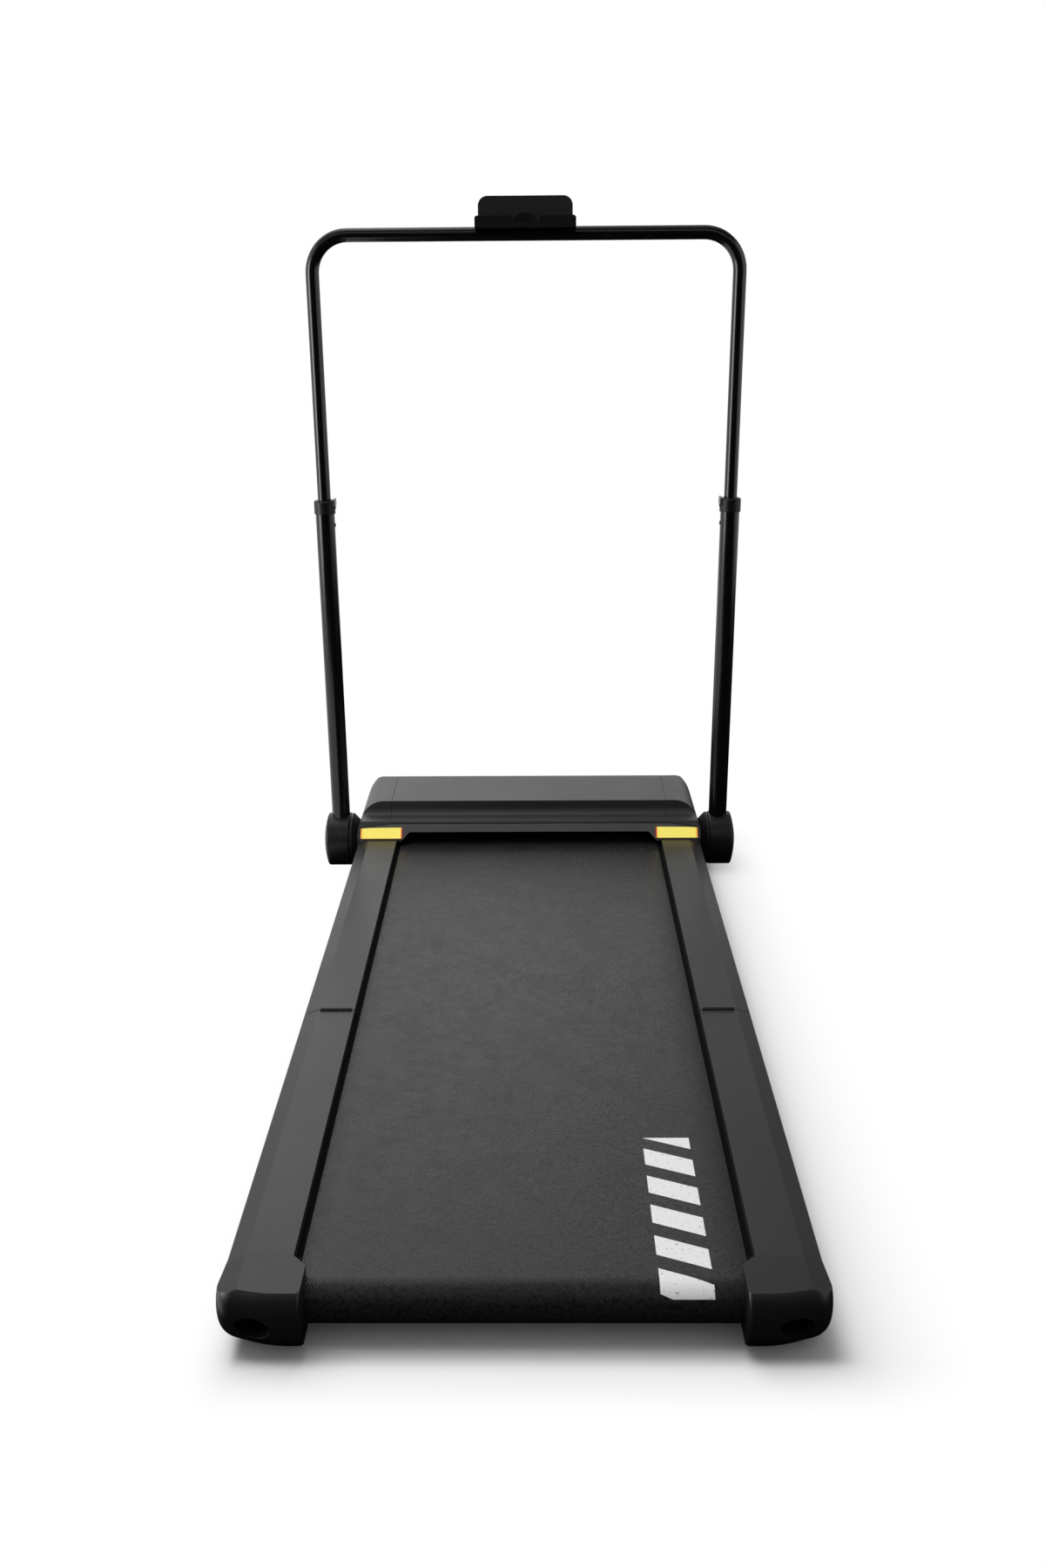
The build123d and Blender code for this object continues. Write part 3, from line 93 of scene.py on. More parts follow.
# Printed bars on the belt: the middle and half size of their field, then their spacing, lean and share
BAR_FIELD_MIDDLE = (0.143, -0.482)
BAR_FIELD_HALF = (0.0235, 0.117)
BAR_FIELD_SOFT = 0.0006
BAR_PITCH = 0.046
BAR_LEAN = 0.42
BAR_OFFSET = 0.6
BAR_HALF_SHARE = 0.29

# Edge strips: corners across the deck and up the guard's slope, the film's build, where its colours change,
# with a painted shade along the lower edge
STRIP_CORNERS = ((0.1968, 0.0004), (0.2622, 0.0004), (0.2619, 0.0172), (0.2470, 0.0181), (0.1968, 0.0187))
STRIP_THICK = 0.0004
STRIP_EDGE = 0.0002
STRIP_LIFT = 0.00005
STRIP_SOFTENINGS = 3
STRIP_OUTER_END = (0.2575, 0.2625)
STRIP_INNER_END = (0.1995, 0.1985)
STRIP_SHADED_LOWER_EDGE = (0.0728, 0.0718)

# Share of the white surround that lights matt surfaces
FILL = 0.3

# Footprint on the floor, left, right and end, and how fast its shadow fades past each of them
FOOTPRINT = (0.25, 0.27, 0.61)
SHADOW_FADE = (5.0, 1.9, 3.2)
FLOOR_REACH = 9.0

# Camera fitted to the photograph: its lens in millimetres, its place, and its turns in degrees
CAMERA_LENS = 32.48
CAMERA_PLACE = (0.0138, -1.6085, 0.888)
CAMERA_TURNS = (70.4, 0.424, 0.499)


# Shader maths


class Value:
    """A socket's value that can stand in a sum; each sign adds one Math node."""

    def __init__(self, paint, socket):
        self.paint = paint
        self.socket = socket

    def maths(self, operation, *parts):
        return self.paint.node("ShaderNodeMath", {"operation": operation}, parts)

    def __add__(self, other):
        return self.maths("ADD", self, other)

    def __sub__(self, other):
        return self.maths("SUBTRACT", self, other)

    def __rsub__(self, other):
        return self.maths("SUBTRACT", other, self)

    def __mul__(self, other):
        return self.maths("MULTIPLY", self, other)

    def __truediv__(self, other):
        return self.maths("DIVIDE", self, other)

    def __pow__(self, other):
        return self.maths("POWER", self, other)

    def __abs__(self):
        return self.maths("ABSOLUTE", self)

    __radd__ = __add__
    __rmul__ = __mul__

    def sine(self):
        return self.maths("SINE", self)

    def fraction(self):
        return self.maths("FRACT", self)

    def most(self, other):
        return self.maths("MAXIMUM", self, other)

    def rise(self, low, high, start=0.0, end=1.0):
        """Goes smoothly from start to end while the value goes from low to high."""
        return self.paint.node(
            "ShaderNodeMapRange",
            {"interpolation_type": "SMOOTHSTEP"},
            {"Value": self, "From Min": low, "From Max": high, "To Min": start, "To Max": end},
        )

    def line(self, centre, half, soft):
        """One on a line at centre, half wide to each side, with a soft edge, and zero elsewhere."""
        return abs(self - centre).rise(half, half + soft, 1.0, 0.0)


class Paint:
    """A node tree being filled: one method makes every kind of node."""

    def __init__(self, owner):
        owner.use_nodes = True
        self.owner = owner
        self.tree = owner.node_tree
        self.tree.nodes.clear()

    def node(self, kind, settings=None, sockets=(), out=0):
        """Makes a node, applies its settings, fills or links its sockets, and returns one output."""
        made = self.tree.nodes.new(kind)
        for key, value in (settings or {}).items():
            setattr(made, key, value)
        pairs = sockets.items() if isinstance(sockets, dict) else enumerate(sockets)
        for key, value in pairs:
            if isinstance(value, Value):
                self.tree.links.new(value.socket, made.inputs[key])
            else:
                made.inputs[key].default_value = value
        return Value(self, made.outputs[out]) if made.outputs else None

    def place(self):
        """Object coordinates, so a pattern stays with its piece."""
        return self.node("ShaderNodeTexCoord", out="Object")

    def parts(self, vector):
        """The X, Y and Z of a vector as three values."""
        split = self.node("ShaderNodeSeparateXYZ", None, (vector,)).socket.node
        return [Value(self, output) for output in split.outputs]

    def stretched(self, vector, factors):
        return self.node("ShaderNodeVectorMath", {"operation": "MULTIPLY"}, (vector, factors))

    def cloud(self, vector, size, detail=2.0, rough=0.5):
        """Noise whose lumps are about size metres across, from 0 to 1 round 0.5."""
        return self.node(
            "ShaderNodeTexNoise",
            None,
            {"Vector": vector, "Scale": 1 / size, "Detail": detail, "Roughness": rough},
        )

    def cells(self, vector, size):
        """Distance to the nearest of many scattered points, in cells about size metres across."""
        return self.node("ShaderNodeTexVoronoi", None, {"Vector": vector, "Scale": 1 / size})

    def mixed(self, first, second, share):
        """Colour that goes from first to second as share goes from 0 to 1."""
        return self.node(
            "ShaderNodeMix", {"data_type": "RGBA"}, {0: share, 6: colour4(first), 7: colour4(second)}, 2
        )

    def bump(self, height, depth, strength=1.0, soft_edge=0.0006):
        """Normal from a height in 0..1, depth metres deep, on edges that are rounded by soft_edge."""
        edge = self.node("ShaderNodeBevel", {"samples": 4}, {"Radius": soft_edge})
        sockets = {"Strength": strength, "Distance": depth, "Height": height, "Normal": edge}
        return self.node("ShaderNodeBump", None, sockets)

    def edge_wear_and_highlight(self, radius, low=0.02, high=0.25):
        """One along sharp edges, from how far the rounded normal leans off the true one; finishes paint these
        edges paler, partly as wear and partly as a painted edge highlight.
        """
        edge = self.node("ShaderNodeBevel", {"samples": 4}, {"Radius": radius})
        true = self.node("ShaderNodeNewGeometry", out="True Normal")
        lean = self.node("ShaderNodeVectorMath", {"operation": "DOT_PRODUCT"}, (edge, true), "Value")
        return (1 - lean).rise(low, high)

    def surface(self, **sockets):
        """Closes the tree with one principled shader; names use _ for spaces."""
        named = {key.replace("_", " "): value for key, value in sockets.items()}
        shader = self.node("ShaderNodeBsdfPrincipled", None, named)
        self.node("ShaderNodeOutputMaterial", None, (shader,))
        return self.owner


def colour4(colour):
    return colour if isinstance(colour, Value) else (*colour, 1.0)


def grey(level):
    """A neutral colour a touch towards blue, at a linear level."""
    return (level * 0.985, level, level * 1.03)


# Finishes


def moulded(name, level, rough, specular, grain=0.0007, depth=0.00006, scuff=0.12, groove=None):
    """Textured plastic: fine spark-eroded grain, cloudy tone, faint lengthwise scuffs, paler edges that are
    partly wear and partly a painted edge highlight.
    """
    paint = Paint(bpy.data.materials.new(name))
    place = paint.place()
    fine = paint.cloud(place, grain, 3.0, 0.65)
    tone = paint.cloud(place, 0.09, 4.0, 0.6)
    rub = paint.cloud(paint.stretched(place, (1.0, 0.09, 1.0)), 0.012, 3.0, 0.7).rise(0.62, 0.82)
    # Paler edges: partly wear, partly a painted edge highlight
    edge = paint.edge_wear_and_highlight(0.0012) * paint.cloud(place, 0.02, 2.0).rise(0.35, 0.7)
    base = paint.mixed(grey(level * 0.82), grey(level * 1.2), tone)
    base = paint.mixed(base, grey(level * 1.7 + 0.006), (rub * scuff + edge * 0.35))
    height = fine
    if groove is not None:
        seam = abs(paint.parts(place)[0]).line(groove, 0.0003, 0.0003)
        base = paint.mixed(base, grey(level * 0.2), seam)
        height = fine - seam * 4.0
    return paint.surface(
        Base_Color=base,
        Roughness=rough + (tone - 0.5) * 0.14 + (fine - 0.5) * 0.12 - rub * 0.06,
        Specular_IOR_Level=specular,
        Normal=paint.bump(height, depth),
    )


def powder_coat(name, level, rough, specular):
    """Baked powder paint on tube: shallow orange peel, a little dust, paler edges that are partly wear and
    partly a painted edge highlight.
    """
    paint = Paint(bpy.data.materials.new(name))
    place = paint.place()
    peel = paint.cloud(place, 0.0016, 2.0, 0.5)
    tone = paint.cloud(place, 0.06, 3.0, 0.55)
    dust = paint.cloud(place, 0.0009, 1.0).rise(0.7, 0.78)
    # Paler edges: partly wear, partly a painted edge highlight
    edge = paint.edge_wear_and_highlight(0.0008)
    base = paint.mixed(grey(level * 0.8), grey(level * 1.25), tone)
    base = paint.mixed(base, grey(level * 2.5 + 0.01), dust * 0.12 + edge * 0.3)
    return paint.surface(
        Base_Color=base,
        Roughness=rough + (tone - 0.5) * 0.12 + dust * 0.1,
        Specular_IOR_Level=specular,
        Normal=paint.bump(peel, 0.00004),
    )


def steel(name, colour, rough, turned=(1.0, 0.04, 0.04)):
    """Bare steel with fine tool lines, small stains and brighter edges that are partly wear and partly a
    painted edge highlight.
    """
    paint = Paint(bpy.data.materials.new(name))
    place = paint.place()
    lines = paint.cloud(paint.stretched(place, turned), 0.0004, 2.0, 0.7)
    stain = paint.cloud(place, 0.018, 4.0, 0.6).rise(0.5, 0.8)
    # Brighter edges: partly wear, partly a painted edge highlight
    edge = paint.edge_wear_and_highlight(0.0006)
    dark = tuple(part * 0.6 for part in colour)
    base = paint.mixed(colour, dark, stain * 0.5)
    base = paint.mixed(base, tuple(min(1.0, part * 1.25) for part in colour), edge * 0.6)
    return paint.surface(
        Base_Color=base,
        Metallic=1.0,
        Roughness=rough + (lines - 0.5) * 0.2 + stain * 0.12,
        Normal=paint.bump(lines, 0.00003),
    )


def wood_board(name):
    """Waxed fibre board: brown fibres on its cut edges, black on its broad faces, partly a dark film and
    partly painted shade for the gap beside the belt.
    """
    paint = Paint(bpy.data.materials.new(name))
    place = paint.place()
    fibre = paint.cloud(paint.stretched(place, (1.0, 0.12, 1.0)), 0.003, 5.0, 0.65)
    wax = paint.cloud(place, 0.05, 3.0)
    _, _, z = paint.parts(place)
    start, full = BOARD_FILM_AND_SHADE
    # Mask of the broad faces: partly a dark film, partly painted shade in the gap beside the belt
    film = z.rise(BOARD_TOP - start, BOARD_TOP - full).most(z.rise(BOARD_BASE + start, BOARD_BASE + full))
    base = paint.mixed((0.010, 0.008, 0.006), (0.034, 0.026, 0.019), fibre)
    base = paint.mixed(base, (0.008, 0.007, 0.006), wax.rise(0.45, 0.7) * 0.5)
    # Painted shade: the broad faces go near black, partly film and partly the shade in the gap beside the
    # belt
    base = paint.mixed(base, grey(0.003), film)
    return paint.surface(
        Base_Color=base,
        Roughness=0.6 + film * 0.3 + (wax - 0.5) * 0.2,
        Specular_IOR_Level=0.12,
        Normal=paint.bump(fibre, 0.00008),
    )


def rubber(name, level):
    """Soft black rubber: fine pebble, dusty bloom, paler rims that are partly scuffs and partly a painted
    edge highlight.
    """
    paint = Paint(bpy.data.materials.new(name))
    place = paint.place()
    pebble = paint.cells(place, 0.0011)
    bloom = paint.cloud(place, 0.014, 4.0, 0.65)
    # Paler rims: partly scuffs, partly a painted edge highlight
    edge = paint.edge_wear_and_highlight(0.0012)
    base = paint.mixed(grey(level * 0.7), grey(level * 1.6), bloom)
    base = paint.mixed(base, grey(level * 3.0), edge * 0.5)
    return paint.surface(
        Base_Color=base,
        Roughness=0.78 + (bloom - 0.5) * 0.16,
        Specular_IOR_Level=0.25,
        Normal=paint.bump(pebble, 0.00012),
    )


def gloss_button(name, colour):
    """Glossy moulded button: clear skin with a faint flow mark and tiny dust specks."""
    paint = Paint(bpy.data.materials.new(name))
    place = paint.place()
    flow = paint.cloud(place, 0.006, 2.0)
    speck = paint.cloud(place, 0.0006, 1.0).rise(0.72, 0.8)
    dark = tuple(part * 0.75 for part in colour)
    return paint.surface(
        Base_Color=paint.mixed(paint.mixed(dark, colour, flow), grey(0.3), speck * 0.15),
        Roughness=0.22 + speck * 0.3 + (flow - 0.5) * 0.08,
        Normal=paint.bump(flow, 0.00004),
    )


def belt_rubber():
    """Running belt: fine ridges leaning one way, strokes the other, with strokes and ridge crests painted
    paler as a painted highlight on the relief, a splice and slanted pale bars.
    """
    paint = Paint(bpy.data.materials.new("belt_rubber"))
    uv = paint.node("ShaderNodeUVMap", {"uv_map": "belt_uv"})
    across, along, _ = paint.parts(uv)
    drift = (paint.cloud(uv, 0.012, 3.0, 0.7) - 0.5) * 0.0034
    broken = paint.cloud(uv, 0.0045, 2.0, 0.6).rise(0.3, 0.62)
    pitch = 2 * pi / STROKE_PITCH
    ridge = ((across + along * STROKE_LEAN + drift) * pitch).sine() * 0.5 + 0.5
    stroke = ((across - along * STROKE_LEAN + drift) * pitch).sine() * 0.5 + 0.5
    thread = paint.cloud(paint.stretched(uv, (1.0, 0.4, 1.0)), 0.0011, 2.0, 0.7)
    tone = paint.cloud(uv, 0.05, 5.0, 0.6)
    patch = paint.cloud(uv, 0.014, 3.0, 0.65)
    lane = paint.cloud(paint.stretched(uv, (1.0, 0.05, 1.0)), 0.02, 3.0, 0.6)
    splice = (along - across * SPLICE_LEAN - SPLICE_Y).line(0.0, 0.0003, 0.0005)
    count = (along + across * BAR_LEAN + BAR_OFFSET) / BAR_PITCH
    bars = count.fraction().line(0.5, BAR_HALF_SHARE, 0.015)
    bars = bars * across.line(BAR_FIELD_MIDDLE[0], BAR_FIELD_HALF[0], BAR_FIELD_SOFT)
    bars = bars * along.line(BAR_FIELD_MIDDLE[1], BAR_FIELD_HALF[1], BAR_FIELD_SOFT)
    print_wear = paint.cloud(uv, 0.004, 4.0, 0.7).rise(0.28, 0.42)
    fleck = paint.cells(paint.stretched(uv, (1.0, 0.5, 1.0)), 0.3).line(0.0, 0.0016, 0.001)
    base = paint.mixed(grey(0.006), grey(0.012), tone * 0.5 + lane * 0.5)
    # Painted highlight: strokes and ridge crests are painted paler, as if they caught the light
    base = paint.mixed(base, grey(0.05), stroke.rise(0.45, 0.95) * broken * (0.3 + thread * 0.6))
    base = paint.mixed(base, grey(0.06), ridge.rise(0.6, 1.0) * broken * 0.3)
    base = paint.mixed(base, grey(0.005), splice * 0.7)
    base = paint.mixed(base, (0.16, 0.13, 0.1), fleck * 0.5)
    base = paint.mixed(base, (0.95, 0.95, 0.94), bars * print_wear)
    height = (ridge * (0.3 + broken * 0.5) + stroke * 0.2 + thread * 0.2) * (1 - bars * 0.4) - splice * 0.6
    return paint.surface(
        Base_Color=base,
        Roughness=0.4 + (tone - 0.5) * 0.26 + (patch - 0.5) * 0.3 - ridge * 0.08,
        Specular_IOR_Level=0.42,
        Specular_Tint=(0.98, 0.96, 1.0, 1.0),
        Normal=paint.bump(height, 0.0003, 1.0, 0.0003),
    )


def strip_film():
    """Yellow edge strip with a painted glow that lifts its yellow: red inner end, orange outer end, a brown
    lower edge of painted shade, clear film.
    """
    paint = Paint(bpy.data.materials.new("strip_film"))
    place = paint.place()
    x, _, z = paint.parts(place)
    out = abs(x)
    mottle = paint.cloud(place, 0.004, 3.0, 0.6)
    bead = paint.cells(place, 0.0007)
    base = paint.mixed((1.0, 0.80, 0.08), (1.0, 0.91, 0.22), mottle)
    base = paint.mixed(base, (0.80, 0.20, 0.012), out.rise(*STRIP_OUTER_END))
    base = paint.mixed(base, (0.60, 0.04, 0.012), out.rise(*STRIP_INNER_END))
    # Painted shade: the strip's lower edge is darkened to brown, as if shade fell along it
    base = paint.mixed(base, (0.20, 0.07, 0.015), z.rise(*STRIP_SHADED_LOWER_EDGE))
    return paint.surface(
        Base_Color=base,
        Roughness=0.32 + (mottle - 0.5) * 0.1,
        Coat_Weight=0.3,
        # Painted glow: the strip emits its own colour, so it shines though it is no lamp
        Emission_Color=base,
        Emission_Strength=0.35,
        Normal=paint.bump(bead, 0.00003),
    )


# Finishes by slot: a linear level or a colour, then roughness, then the specular level
FINISHES = {
    "frame_steel": powder_coat("frame_steel", 0.014, 0.42, 0.4),
    "tube_paint": powder_coat("tube_paint", 0.005, 0.2, 0.5),
    "dark_steel": steel("dark_steel", (0.05, 0.052, 0.056), 0.4),
    "bright_steel": steel("bright_steel", (0.52, 0.53, 0.54), 0.28),
    "deck_board": wood_board("deck_board"),
    "rail_plastic": moulded("rail_plastic", 0.014, 0.4, 0.55),
    "cap_plastic": moulded("cap_plastic", 0.012, 0.38, 0.5),
    "hood_plastic": moulded("hood_plastic", 0.024, 0.42, 0.55),
    "guard_plastic": moulded("guard_plastic", 0.065, 0.45, 0.55),
    "knuckle_plastic": moulded("knuckle_plastic", 0.009, 0.4, 0.4, groove=0.3),
    "collar_plastic": moulded("collar_plastic", 0.007, 0.4, 0.35),
    "lever_plastic": moulded("lever_plastic", 0.075, 0.38, 0.5),
    "button_plastic": gloss_button("button_plastic", (0.30, 0.012, 0.01)),
    "wheel_plastic": moulded("wheel_plastic", 0.014, 0.5, 0.4),
    "belt_rubber": belt_rubber(),
    "foot_rubber": rubber("foot_rubber", 0.012),
    "heat_sink": steel("heat_sink", (0.62, 0.63, 0.64), 0.36, (0.05, 1.0, 0.05)),
}
STRIP_FINISH = strip_film()
HINGE_FINISH = powder_coat("hinge_paint", 0.02, 0.4, 0.5)


def dress(thing, finish):
    """Gives a piece or a carried-over node one finish."""
    thing.data.materials.clear()
    thing.data.materials.append(finish)


for subpart in frame["record"]["subparts"]:
    dress(nodes[subpart["node"]], FINISHES[subpart["material_slot"]])
for leaves in ("front_hinge_leaves", "rear_hinge_leaves"):
    dress(nodes[leaves], HINGE_FINISH)


# Meshes


def mesh_piece(name, points, faces, body, finish, uv=None, smooth=True):
    """Object at the origin from points (n, 3) and faces, with corner UVs if given, riding on a body."""
    mesh = bpy.data.meshes.new(name)
    mesh.from_pydata(points.tolist(), [], faces)
    if uv is not None:
        layer = mesh.uv_layers.new(name=uv[0])
        layer.data.foreach_set("uv", uv[1].astype(np.float32).ravel())
    mesh.polygons.foreach_set("use_smooth", np.full(len(mesh.polygons), smooth))
    mesh.update()
    thing = bpy.data.objects.new(name, mesh)
    bpy.context.scene.collection.objects.link(thing)
    dress(thing, finish)
    if body:
        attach(thing, body)
    return thing


def grid_faces(rows, columns, wrap_rows, wrap_columns):
    """Quads of a grid numbered row by row; wrapping joins the last row or column to the first."""
    i, j = np.meshgrid(
        np.arange(rows if wrap_rows else rows - 1),
        np.arange(columns if wrap_columns else columns - 1),
        indexing="ij",
    )
    i, j = i.ravel(), j.ravel()
    k, m = (i + 1) % rows, (j + 1) % columns
    return np.stack([i * columns + j, i * columns + m, k * columns + m, k * columns + j], 1), i, j


def spaced(start, end):
    """Places along Y from start to end: coarse steps, with fine ones near the fold."""
    fine = SEAM_Y + np.linspace(-FOLD_REACH, FOLD_REACH, FOLD_POINTS)
    low, high = min(start, end), max(start, end)
    places = np.concatenate([np.linspace(low, high, RUN_POINTS), fine[(fine > low) & (fine < high)]])
    places = np.unique(places.round(6))
    return places if end > start else places[::-1]


def belt_loop():
    """Middle line of the belt: bottom run, half circle at the rear roller, top run, half circle at the front.

    Each point lies off a base on the line between the rollers' axes, by the belt's mid radius along a normal
    that points down, turns up round the rear roller, points up, and turns down round the front one.
    Returns the line's y and z, the normal, and the length along the belt, which equals y on the top run.
    """
    back = spaced(BELT_START, REAR_ROLLER[0])[:-1]
    top = spaced(REAR_ROLLER[0], FRONT_ROLLER[0])
    front = spaced(FRONT_ROLLER[0], BELT_START)[1:]
    down, up = -pi / 2, pi / 2
    turn = np.linspace(0, pi, TURN_POINTS)
    stretches = (
        (back, np.full(len(back), down)),
        (np.full(len(turn) - 1, REAR_ROLLER[0]), down - turn[:-1]),
        (top, np.full(len(top), up)),
        (np.full(len(turn) - 1, FRONT_ROLLER[0]), up - turn[1:]),
        (front, np.full(len(front), down)),
    )
    base, angle = (np.concatenate(column) for column in zip(*stretches))
    normal = np.stack([np.cos(angle), np.sin(angle)], 1)
    line = np.stack([base, np.full(len(base), REAR_ROLLER[1])], 1) + BELT_MID * normal
    closed = np.concatenate([line, line[:1]])
    length = np.concatenate([[0.0], np.cumsum(np.linalg.norm(np.diff(closed, axis=0), axis=1))])
    first_top = len(back) + len(turn) - 1
    return line, normal, length - length[first_top] + REAR_ROLLER[0]


def belt_section():
    """Flat rounded section of the belt: x across, and height off the middle line, once round clockwise.

    A quarter circle turns each corner, and a row of points runs along each broad face.
    """
    corner = np.linspace(0, pi / 2, CORNER_POINTS)
    half, rise = BELT_HALF - BELT_EDGE, BELT_THICK / 2 - BELT_EDGE
    across, height = [], []
    for turn, cx, cz in ((0, half, rise), (1, -half, rise), (2, -half, -rise), (3, half, -rise)):
        across.append(cx + BELT_EDGE * np.cos(corner + turn * pi / 2))
        height.append(cz + BELT_EDGE * np.sin(corner + turn * pi / 2))
        if turn % 2 == 0:
            run = np.linspace(cx, -cx, FACE_POINTS)[1:-1]
            across.append(run)
            height.append(np.full(len(run), np.sign(cz) * BELT_THICK / 2))
    return np.concatenate(across)[::-1], np.concatenate(height)[::-1]


def running_belt():
    """The belt's section carried round its loop, with UVs in metres across and along."""
    line, normal, length = belt_loop()
    across, height = belt_section()
    rows, columns = len(line), len(across)
    points = np.zeros((rows, columns, 3))
    points[:, :, 0] = across
    points[:, :, 1:] = line[:, None, :] + normal[:, None, :] * height[None, :, None]
    faces, i, j = grid_faces(rows, columns, True, True)
    corner_u = np.append(across, across[0])
    corners = ((j, i), (j + 1, i), (j + 1, i + 1), (j, i + 1))
    uv = np.stack([np.stack([corner_u[u], length[v]], 1) for u, v in corners], 1)
    slot = "belt_rubber"
    points = points.reshape(-1, 3)
    belt = mesh_piece("belt", points, faces.tolist(), None, FINISHES[slot], ("belt_uv", uv))
    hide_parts("running_belt")
    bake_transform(belt)


running_belt()


def plaque_rings(outline, inward, thick, edge):
    """Rings of a thin plate, each with its height: a back rim, then a quarter-round edge to the flat face."""
    turn = np.linspace(0, pi / 2, CORNER_POINTS)
    rings = [(0.0, 0.0)] + [(edge * (1 - np.cos(a)), thick - edge + edge * np.sin(a)) for a in turn]
    return [(outline + inward * inset, height) for inset, height in rings]


def edge_strip(side):
    """A film strip on one end of the sloping guard: a softened outline lifted off the slope, edges rounded.

    The outline's sides are cut into short steps, and each point then moves a few times to a mean of itself
    and its neighbours, which rounds the corners.
    """
    corners = np.array(STRIP_CORNERS)
    steps = np.linspace(0, 1, SIDE_POINTS, endpoint=False)[:, None]
    dense = []
    for here, there in zip(corners, np.roll(corners, -1, 0)):
        dense.append(here + (there - here) * steps)
    outline = np.concatenate(dense)
    for _ in range(STRIP_SOFTENINGS):
        outline = (np.roll(outline, 1, 0) + outline * 2 + np.roll(outline, -1, 0)) / 4
    tangent = np.roll(outline, -1, 0) - np.roll(outline, 1, 0)
    inward = np.stack([-tangent[:, 1], tangent[:, 0]], 1) / np.linalg.norm(tangent, axis=1)[:, None]
    up = GUARD_RISE / np.linalg.norm(GUARD_RISE)
    off = np.array((-up[1], up[0]))
    rings = []
    for ring, height in plaque_rings(outline, inward, STRIP_THICK, STRIP_EDGE):
        slope = GUARD_FOOT + ring[:, 1:] * up + (height + STRIP_LIFT) * off
        rings.append(np.concatenate([side * ring[:, :1], slope], 1))
    count = len(outline)
    faces, _, _ = grid_faces(len(rings), count, False, True)
    faces = faces.tolist() + [list(range((len(rings) - 1) * count, len(rings) * count))]
    faces.append(list(range(count))[::-1])
    if side < 0:
        faces = [face[::-1] for face in faces]
    name = "edge_strip_right" if side > 0 else "edge_strip_left"
    points = np.concatenate(rings)
    mesh_piece(name, points, faces, "front_deck", STRIP_FINISH, smooth=False)


for side in (-1, 1):
    edge_strip(side)


def domed_heads(name, places, out, up, body, slot, radius, rise, cross, root):
    """Round heads in one mesh: each is a dome over a disc, and may have a cross pressed into it.

    The dome's height goes as the square root of 1 - fall r squared, with r the share of the radius. Two
    crossing bars sink it by cross times its rise, and the rim drops to root below the surface it sits on.
    """
    out, up = np.array(out, float), np.array(up, float)
    side = np.cross(up, out)
    fall, middle = 0.8, 0.03
    wide, long, soft = 0.22, 0.66, 0.1
    turn = np.linspace(2 * pi, 0, HEAD_POINTS[0], endpoint=False)
    share = np.concatenate([np.linspace(middle, 1.0, HEAD_POINTS[1]), [1.0]])[:, None]
    x, y = share * np.cos(turn), share * np.sin(turn)
    bars = [
        np.clip((wide - abs(a)) / soft, 0, 1) * np.clip((long - abs(b)) / soft, 0, 1)
        for a, b in ((x, y), (y, x))
    ]
    height = rise * np.sqrt(1 - fall * share**2) - rise * cross * np.maximum(*bars)
    height[-1] = -root
    head = radius * (x[..., None] * side + y[..., None] * up) + height[..., None] * out
    points = np.array(places, float)[:, None, None, :] + head
    rows, columns = x.shape
    faces, _, _ = grid_faces(rows, columns, False, True)
    steps = np.arange(len(places)) * rows * columns
    faces = (faces[None] + steps[:, None, None]).reshape(-1, 4).tolist()
    pole, foot = np.arange(columns)[::-1], np.arange(columns) + (rows - 1) * columns
    faces += (pole + steps[:, None]).tolist() + (foot + steps[:, None]).tolist()
    mesh_piece(name, points.reshape(-1, 3), faces, body, FINISHES[slot])


def fittings():
    """Spring buttons on the inner sides of the lower tubes, and the screws under the motor tray."""
    slot = "dark_steel"
    screws = [(x, y, TRAY_BASE) for x, y in TRAY_SCREWS]
    domed_heads("tray_screws", screws, (0, 0, -1), (0, 1, 0), "front_deck", slot, **SCREW_HEAD)
    for side, word in ((-1, "left"), (1, "right")):
        place = (side * (TUBE_X - TUBE_RADIUS), TUBE_Y, BUTTON_Z)
        name = f"spring_button_{word}"
        domed_heads(name, [place], (-side, 0, 0), (0, 0, 1), "uprights", slot, **BUTTON_HEAD)


fittings()


# Studio


def stage_piece(name, points, faces, paint):
    """Floor or card: part of the studio, not of the object."""
    mesh = bpy.data.meshes.new(name)
    mesh.from_pydata(points.tolist(), [], faces)
    mesh.materials.append(paint.owner)
    thing = bpy.data.objects.new(name, mesh)
    bpy.context.scene.collection.objects.link(thing)
    return thing


def seen_directly(paint):
    """One for rays from the camera, off gloss and through glass, which see the plain white background."""
    rays = paint.node("ShaderNodeLightPath").socket.node
    kinds = [Value(paint, rays.outputs[f"Is {kind} Ray"]) for kind in ("Camera", "Glossy", "Transmission")]
    return kinds[0].most(kinds[1]).most(kinds[2])


def card(name, paint, across, run, rise):
    """Sheet for gloss alone: a line of run (y) and rise (z) carried straight across x."""
    points = np.stack([np.tile(across, len(run)), np.repeat(run, 2), np.repeat(rise, 2)], 1)
    thing = stage_piece(name, points, grid_faces(len(run), 2, False, False)[0].tolist(), paint)
    thing.visible_camera = False
    thing.visible_diffuse = False
    thing.visible_shadow = False


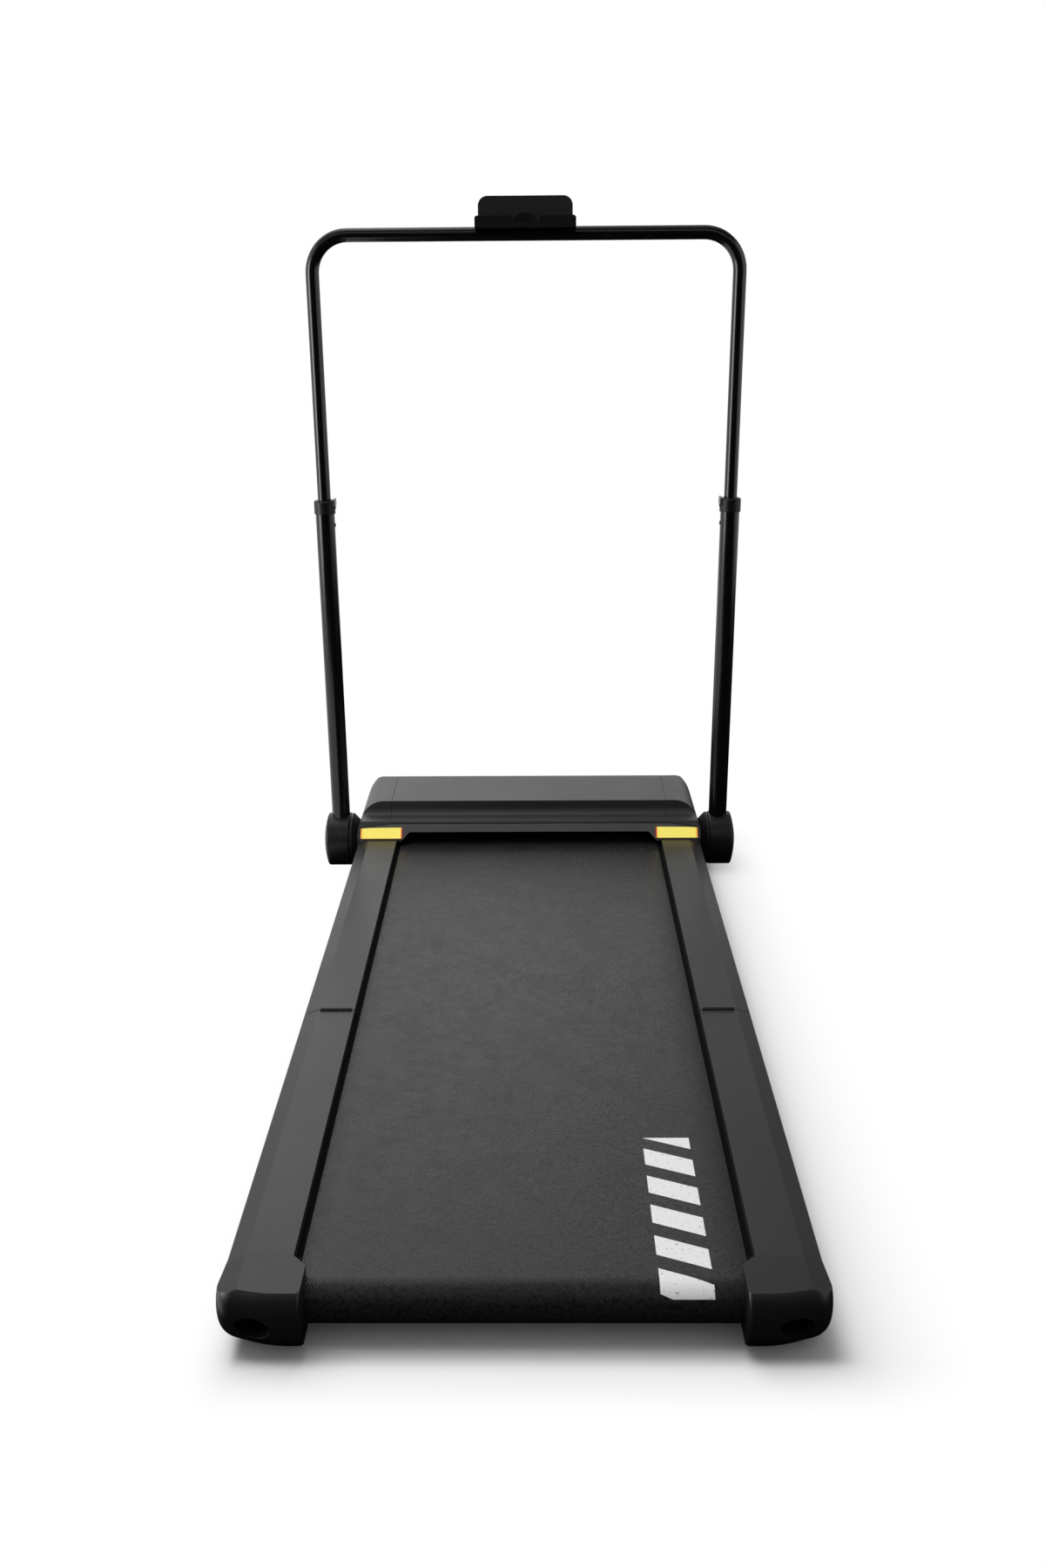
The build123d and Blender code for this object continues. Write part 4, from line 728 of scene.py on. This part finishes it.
def back_wall():
    """Tall sheet behind the object for gloss alone, bent over it: bright to the left, fading to the right."""
    paint = Paint(bpy.data.materials.new("wall_grey"))
    x, y, z = paint.parts(paint.place())
    low = z.rise(1.6, 0.9)
    level = x.rise(0.4, -0.9, 0.42, 2.4) * x.rise(-0.6, -1.1, 1.0, 0.55) * (1 - low) + low * 1.1
    level = level * x.rise(0.9, 1.6, 1.0, 0.35) * x.rise(-1.3, -2.0, 1.0, 0.6) * y.rise(-0.5, 0.4, 0.05, 1.0)
    glow = paint.node("ShaderNodeEmission", None, {"Color": (1, 1, 1, 1), "Strength": level})
    paint.node("ShaderNodeOutputMaterial", None, (glow,))
    wall_y, wall_top, bend, near = 2.8, 2.9, 0.8, -2.6
    turn = np.linspace(0, pi / 2, 17)
    run = np.concatenate([[wall_y], wall_y - bend + bend * np.cos(turn), [near]])
    rise = np.concatenate([[0.0], wall_top + bend * np.sin(turn), [wall_top + bend]])
    card("back_wall", paint, (4.0, -4.0), run, rise)


def dark_cards():
    """Black sheets for gloss alone: one before the deck, bent up from the floor, and one on the floor."""
    paint = Paint(bpy.data.materials.new("card_black"))
    black = paint.node("ShaderNodeBsdfDiffuse", None, {"Color": (0.008, 0.008, 0.008, 1)})
    paint.node("ShaderNodeOutputMaterial", None, (black,))
    near, bend_y, bend, lift, top = -0.64, -2.3, 0.3, 0.002, 2.8
    turn = np.linspace(0, pi / 2, 9)
    run = np.concatenate([[near], bend_y - bend * np.sin(turn), [bend_y - bend]])
    rise = np.concatenate([[lift], lift + bend - bend * np.cos(turn), [top]])
    card("dark_card", paint, (-3.5, 3.5), run, rise)
    floor_far, floor_near, floor_lift = 2.0, -0.66, 0.003
    card("dark_floor", paint, (-0.33, 2.5), np.array((floor_far, floor_near)), np.full(2, floor_lift))


def surround():
    """Even white world: full for what is seen directly, a share of it for matt surfaces."""
    world = bpy.data.worlds.new("surround")
    bpy.context.scene.world = world
    paint = Paint(world)
    strength = seen_directly(paint) * (1.0 - FILL) + FILL
    light = paint.node("ShaderNodeBackground", None, {"Color": (1, 1, 1, 1), "Strength": strength})
    paint.node("ShaderNodeOutputWorld", None, (light,))


def floor():
    """Pale floor: matt under and round the deck, where it keeps the shadow, and plain white farther off.

    The distance from the footprint is the root of the squares of what lies past its left, right and ends.
    """
    paint = Paint(bpy.data.materials.new("floor_white"))
    x, y, _ = paint.parts(paint.place())
    left = (-FOOTPRINT[0] - x).most(0.0) * SHADOW_FADE[0]
    right = (x - FOOTPRINT[1]).most(0.0) * SHADOW_FADE[1]
    end = (abs(y) - FOOTPRINT[2]).most(0.0) * SHADOW_FADE[2]
    far = (left * left + right * right + end * end) ** 0.5
    seen = seen_directly(paint)
    share = (far.rise(0.0, 0.06, 0.0, 0.35) + far.rise(0.0, 0.24, 0.0, 0.65)) * seen
    tone = paint.mixed(grey(0.15), (0.97, 0.97, 0.97), seen)
    matt = paint.node("ShaderNodeBsdfDiffuse", None, {"Color": tone})
    glow = paint.node("ShaderNodeEmission", None, {"Color": (1, 1, 1, 1), "Strength": 1.0})
    both = paint.node("ShaderNodeMixShader", None, (share, matt, glow))
    paint.node("ShaderNodeOutputMaterial", None, (both,))
    corners = np.array([(-1, -1, 0), (1, -1, 0), (1, 1, 0), (-1, 1, 0)]) * FLOOR_REACH
    stage_piece("floor", corners, [(0, 1, 2, 3)], paint)


def lamp(name, place, target, wide, high, watts):
    """Rectangular soft lamp at place that faces target."""
    data = bpy.data.lights.new(name, "AREA")
    data.shape = "RECTANGLE"
    data.size = wide
    data.size_y = high
    data.energy = watts
    thing = bpy.data.objects.new(name, data)
    aim = np.array(target, float) - np.array(place, float)
    flat = np.hypot(aim[0], aim[1])
    thing.rotation_euler = (pi / 2 + np.arctan2(aim[2], flat), 0, np.arctan2(-aim[0], aim[1]))
    thing.location = place
    thing.visible_camera = False
    bpy.context.scene.collection.objects.link(thing)
    return thing


def camera():
    """Camera at the viewing angle of the photograph, with the small roll that its lean calls for."""
    view = bpy.data.cameras.new("camera")
    view.lens = CAMERA_LENS
    view.sensor_width = 36.0
    thing = bpy.data.objects.new("camera", view)
    thing.location = CAMERA_PLACE
    thing.rotation_euler = [radians(turn) for turn in CAMERA_TURNS]
    scene = bpy.context.scene
    scene.collection.objects.link(thing)
    scene.camera = thing


def studio():
    """White surround, pale floor, sheets that shape the gloss, two soft lamps and the camera."""
    bpy.context.scene.view_settings.view_transform = "Standard"
    surround()
    floor()
    dark_cards()
    back_wall()
    soft = lamp("softbox_high", (-0.7, 0.2, 2.4), (0, -0.05, 0.0), wide=2.0, high=2.0, watts=43)
    soft.visible_glossy = False
    rim = lamp("wall_left", (-2.0, -0.55, 0.75), (0.0, -0.55, 0.75), wide=1.1, high=1.3, watts=26)
    rim.visible_diffuse = False
    camera()


studio()
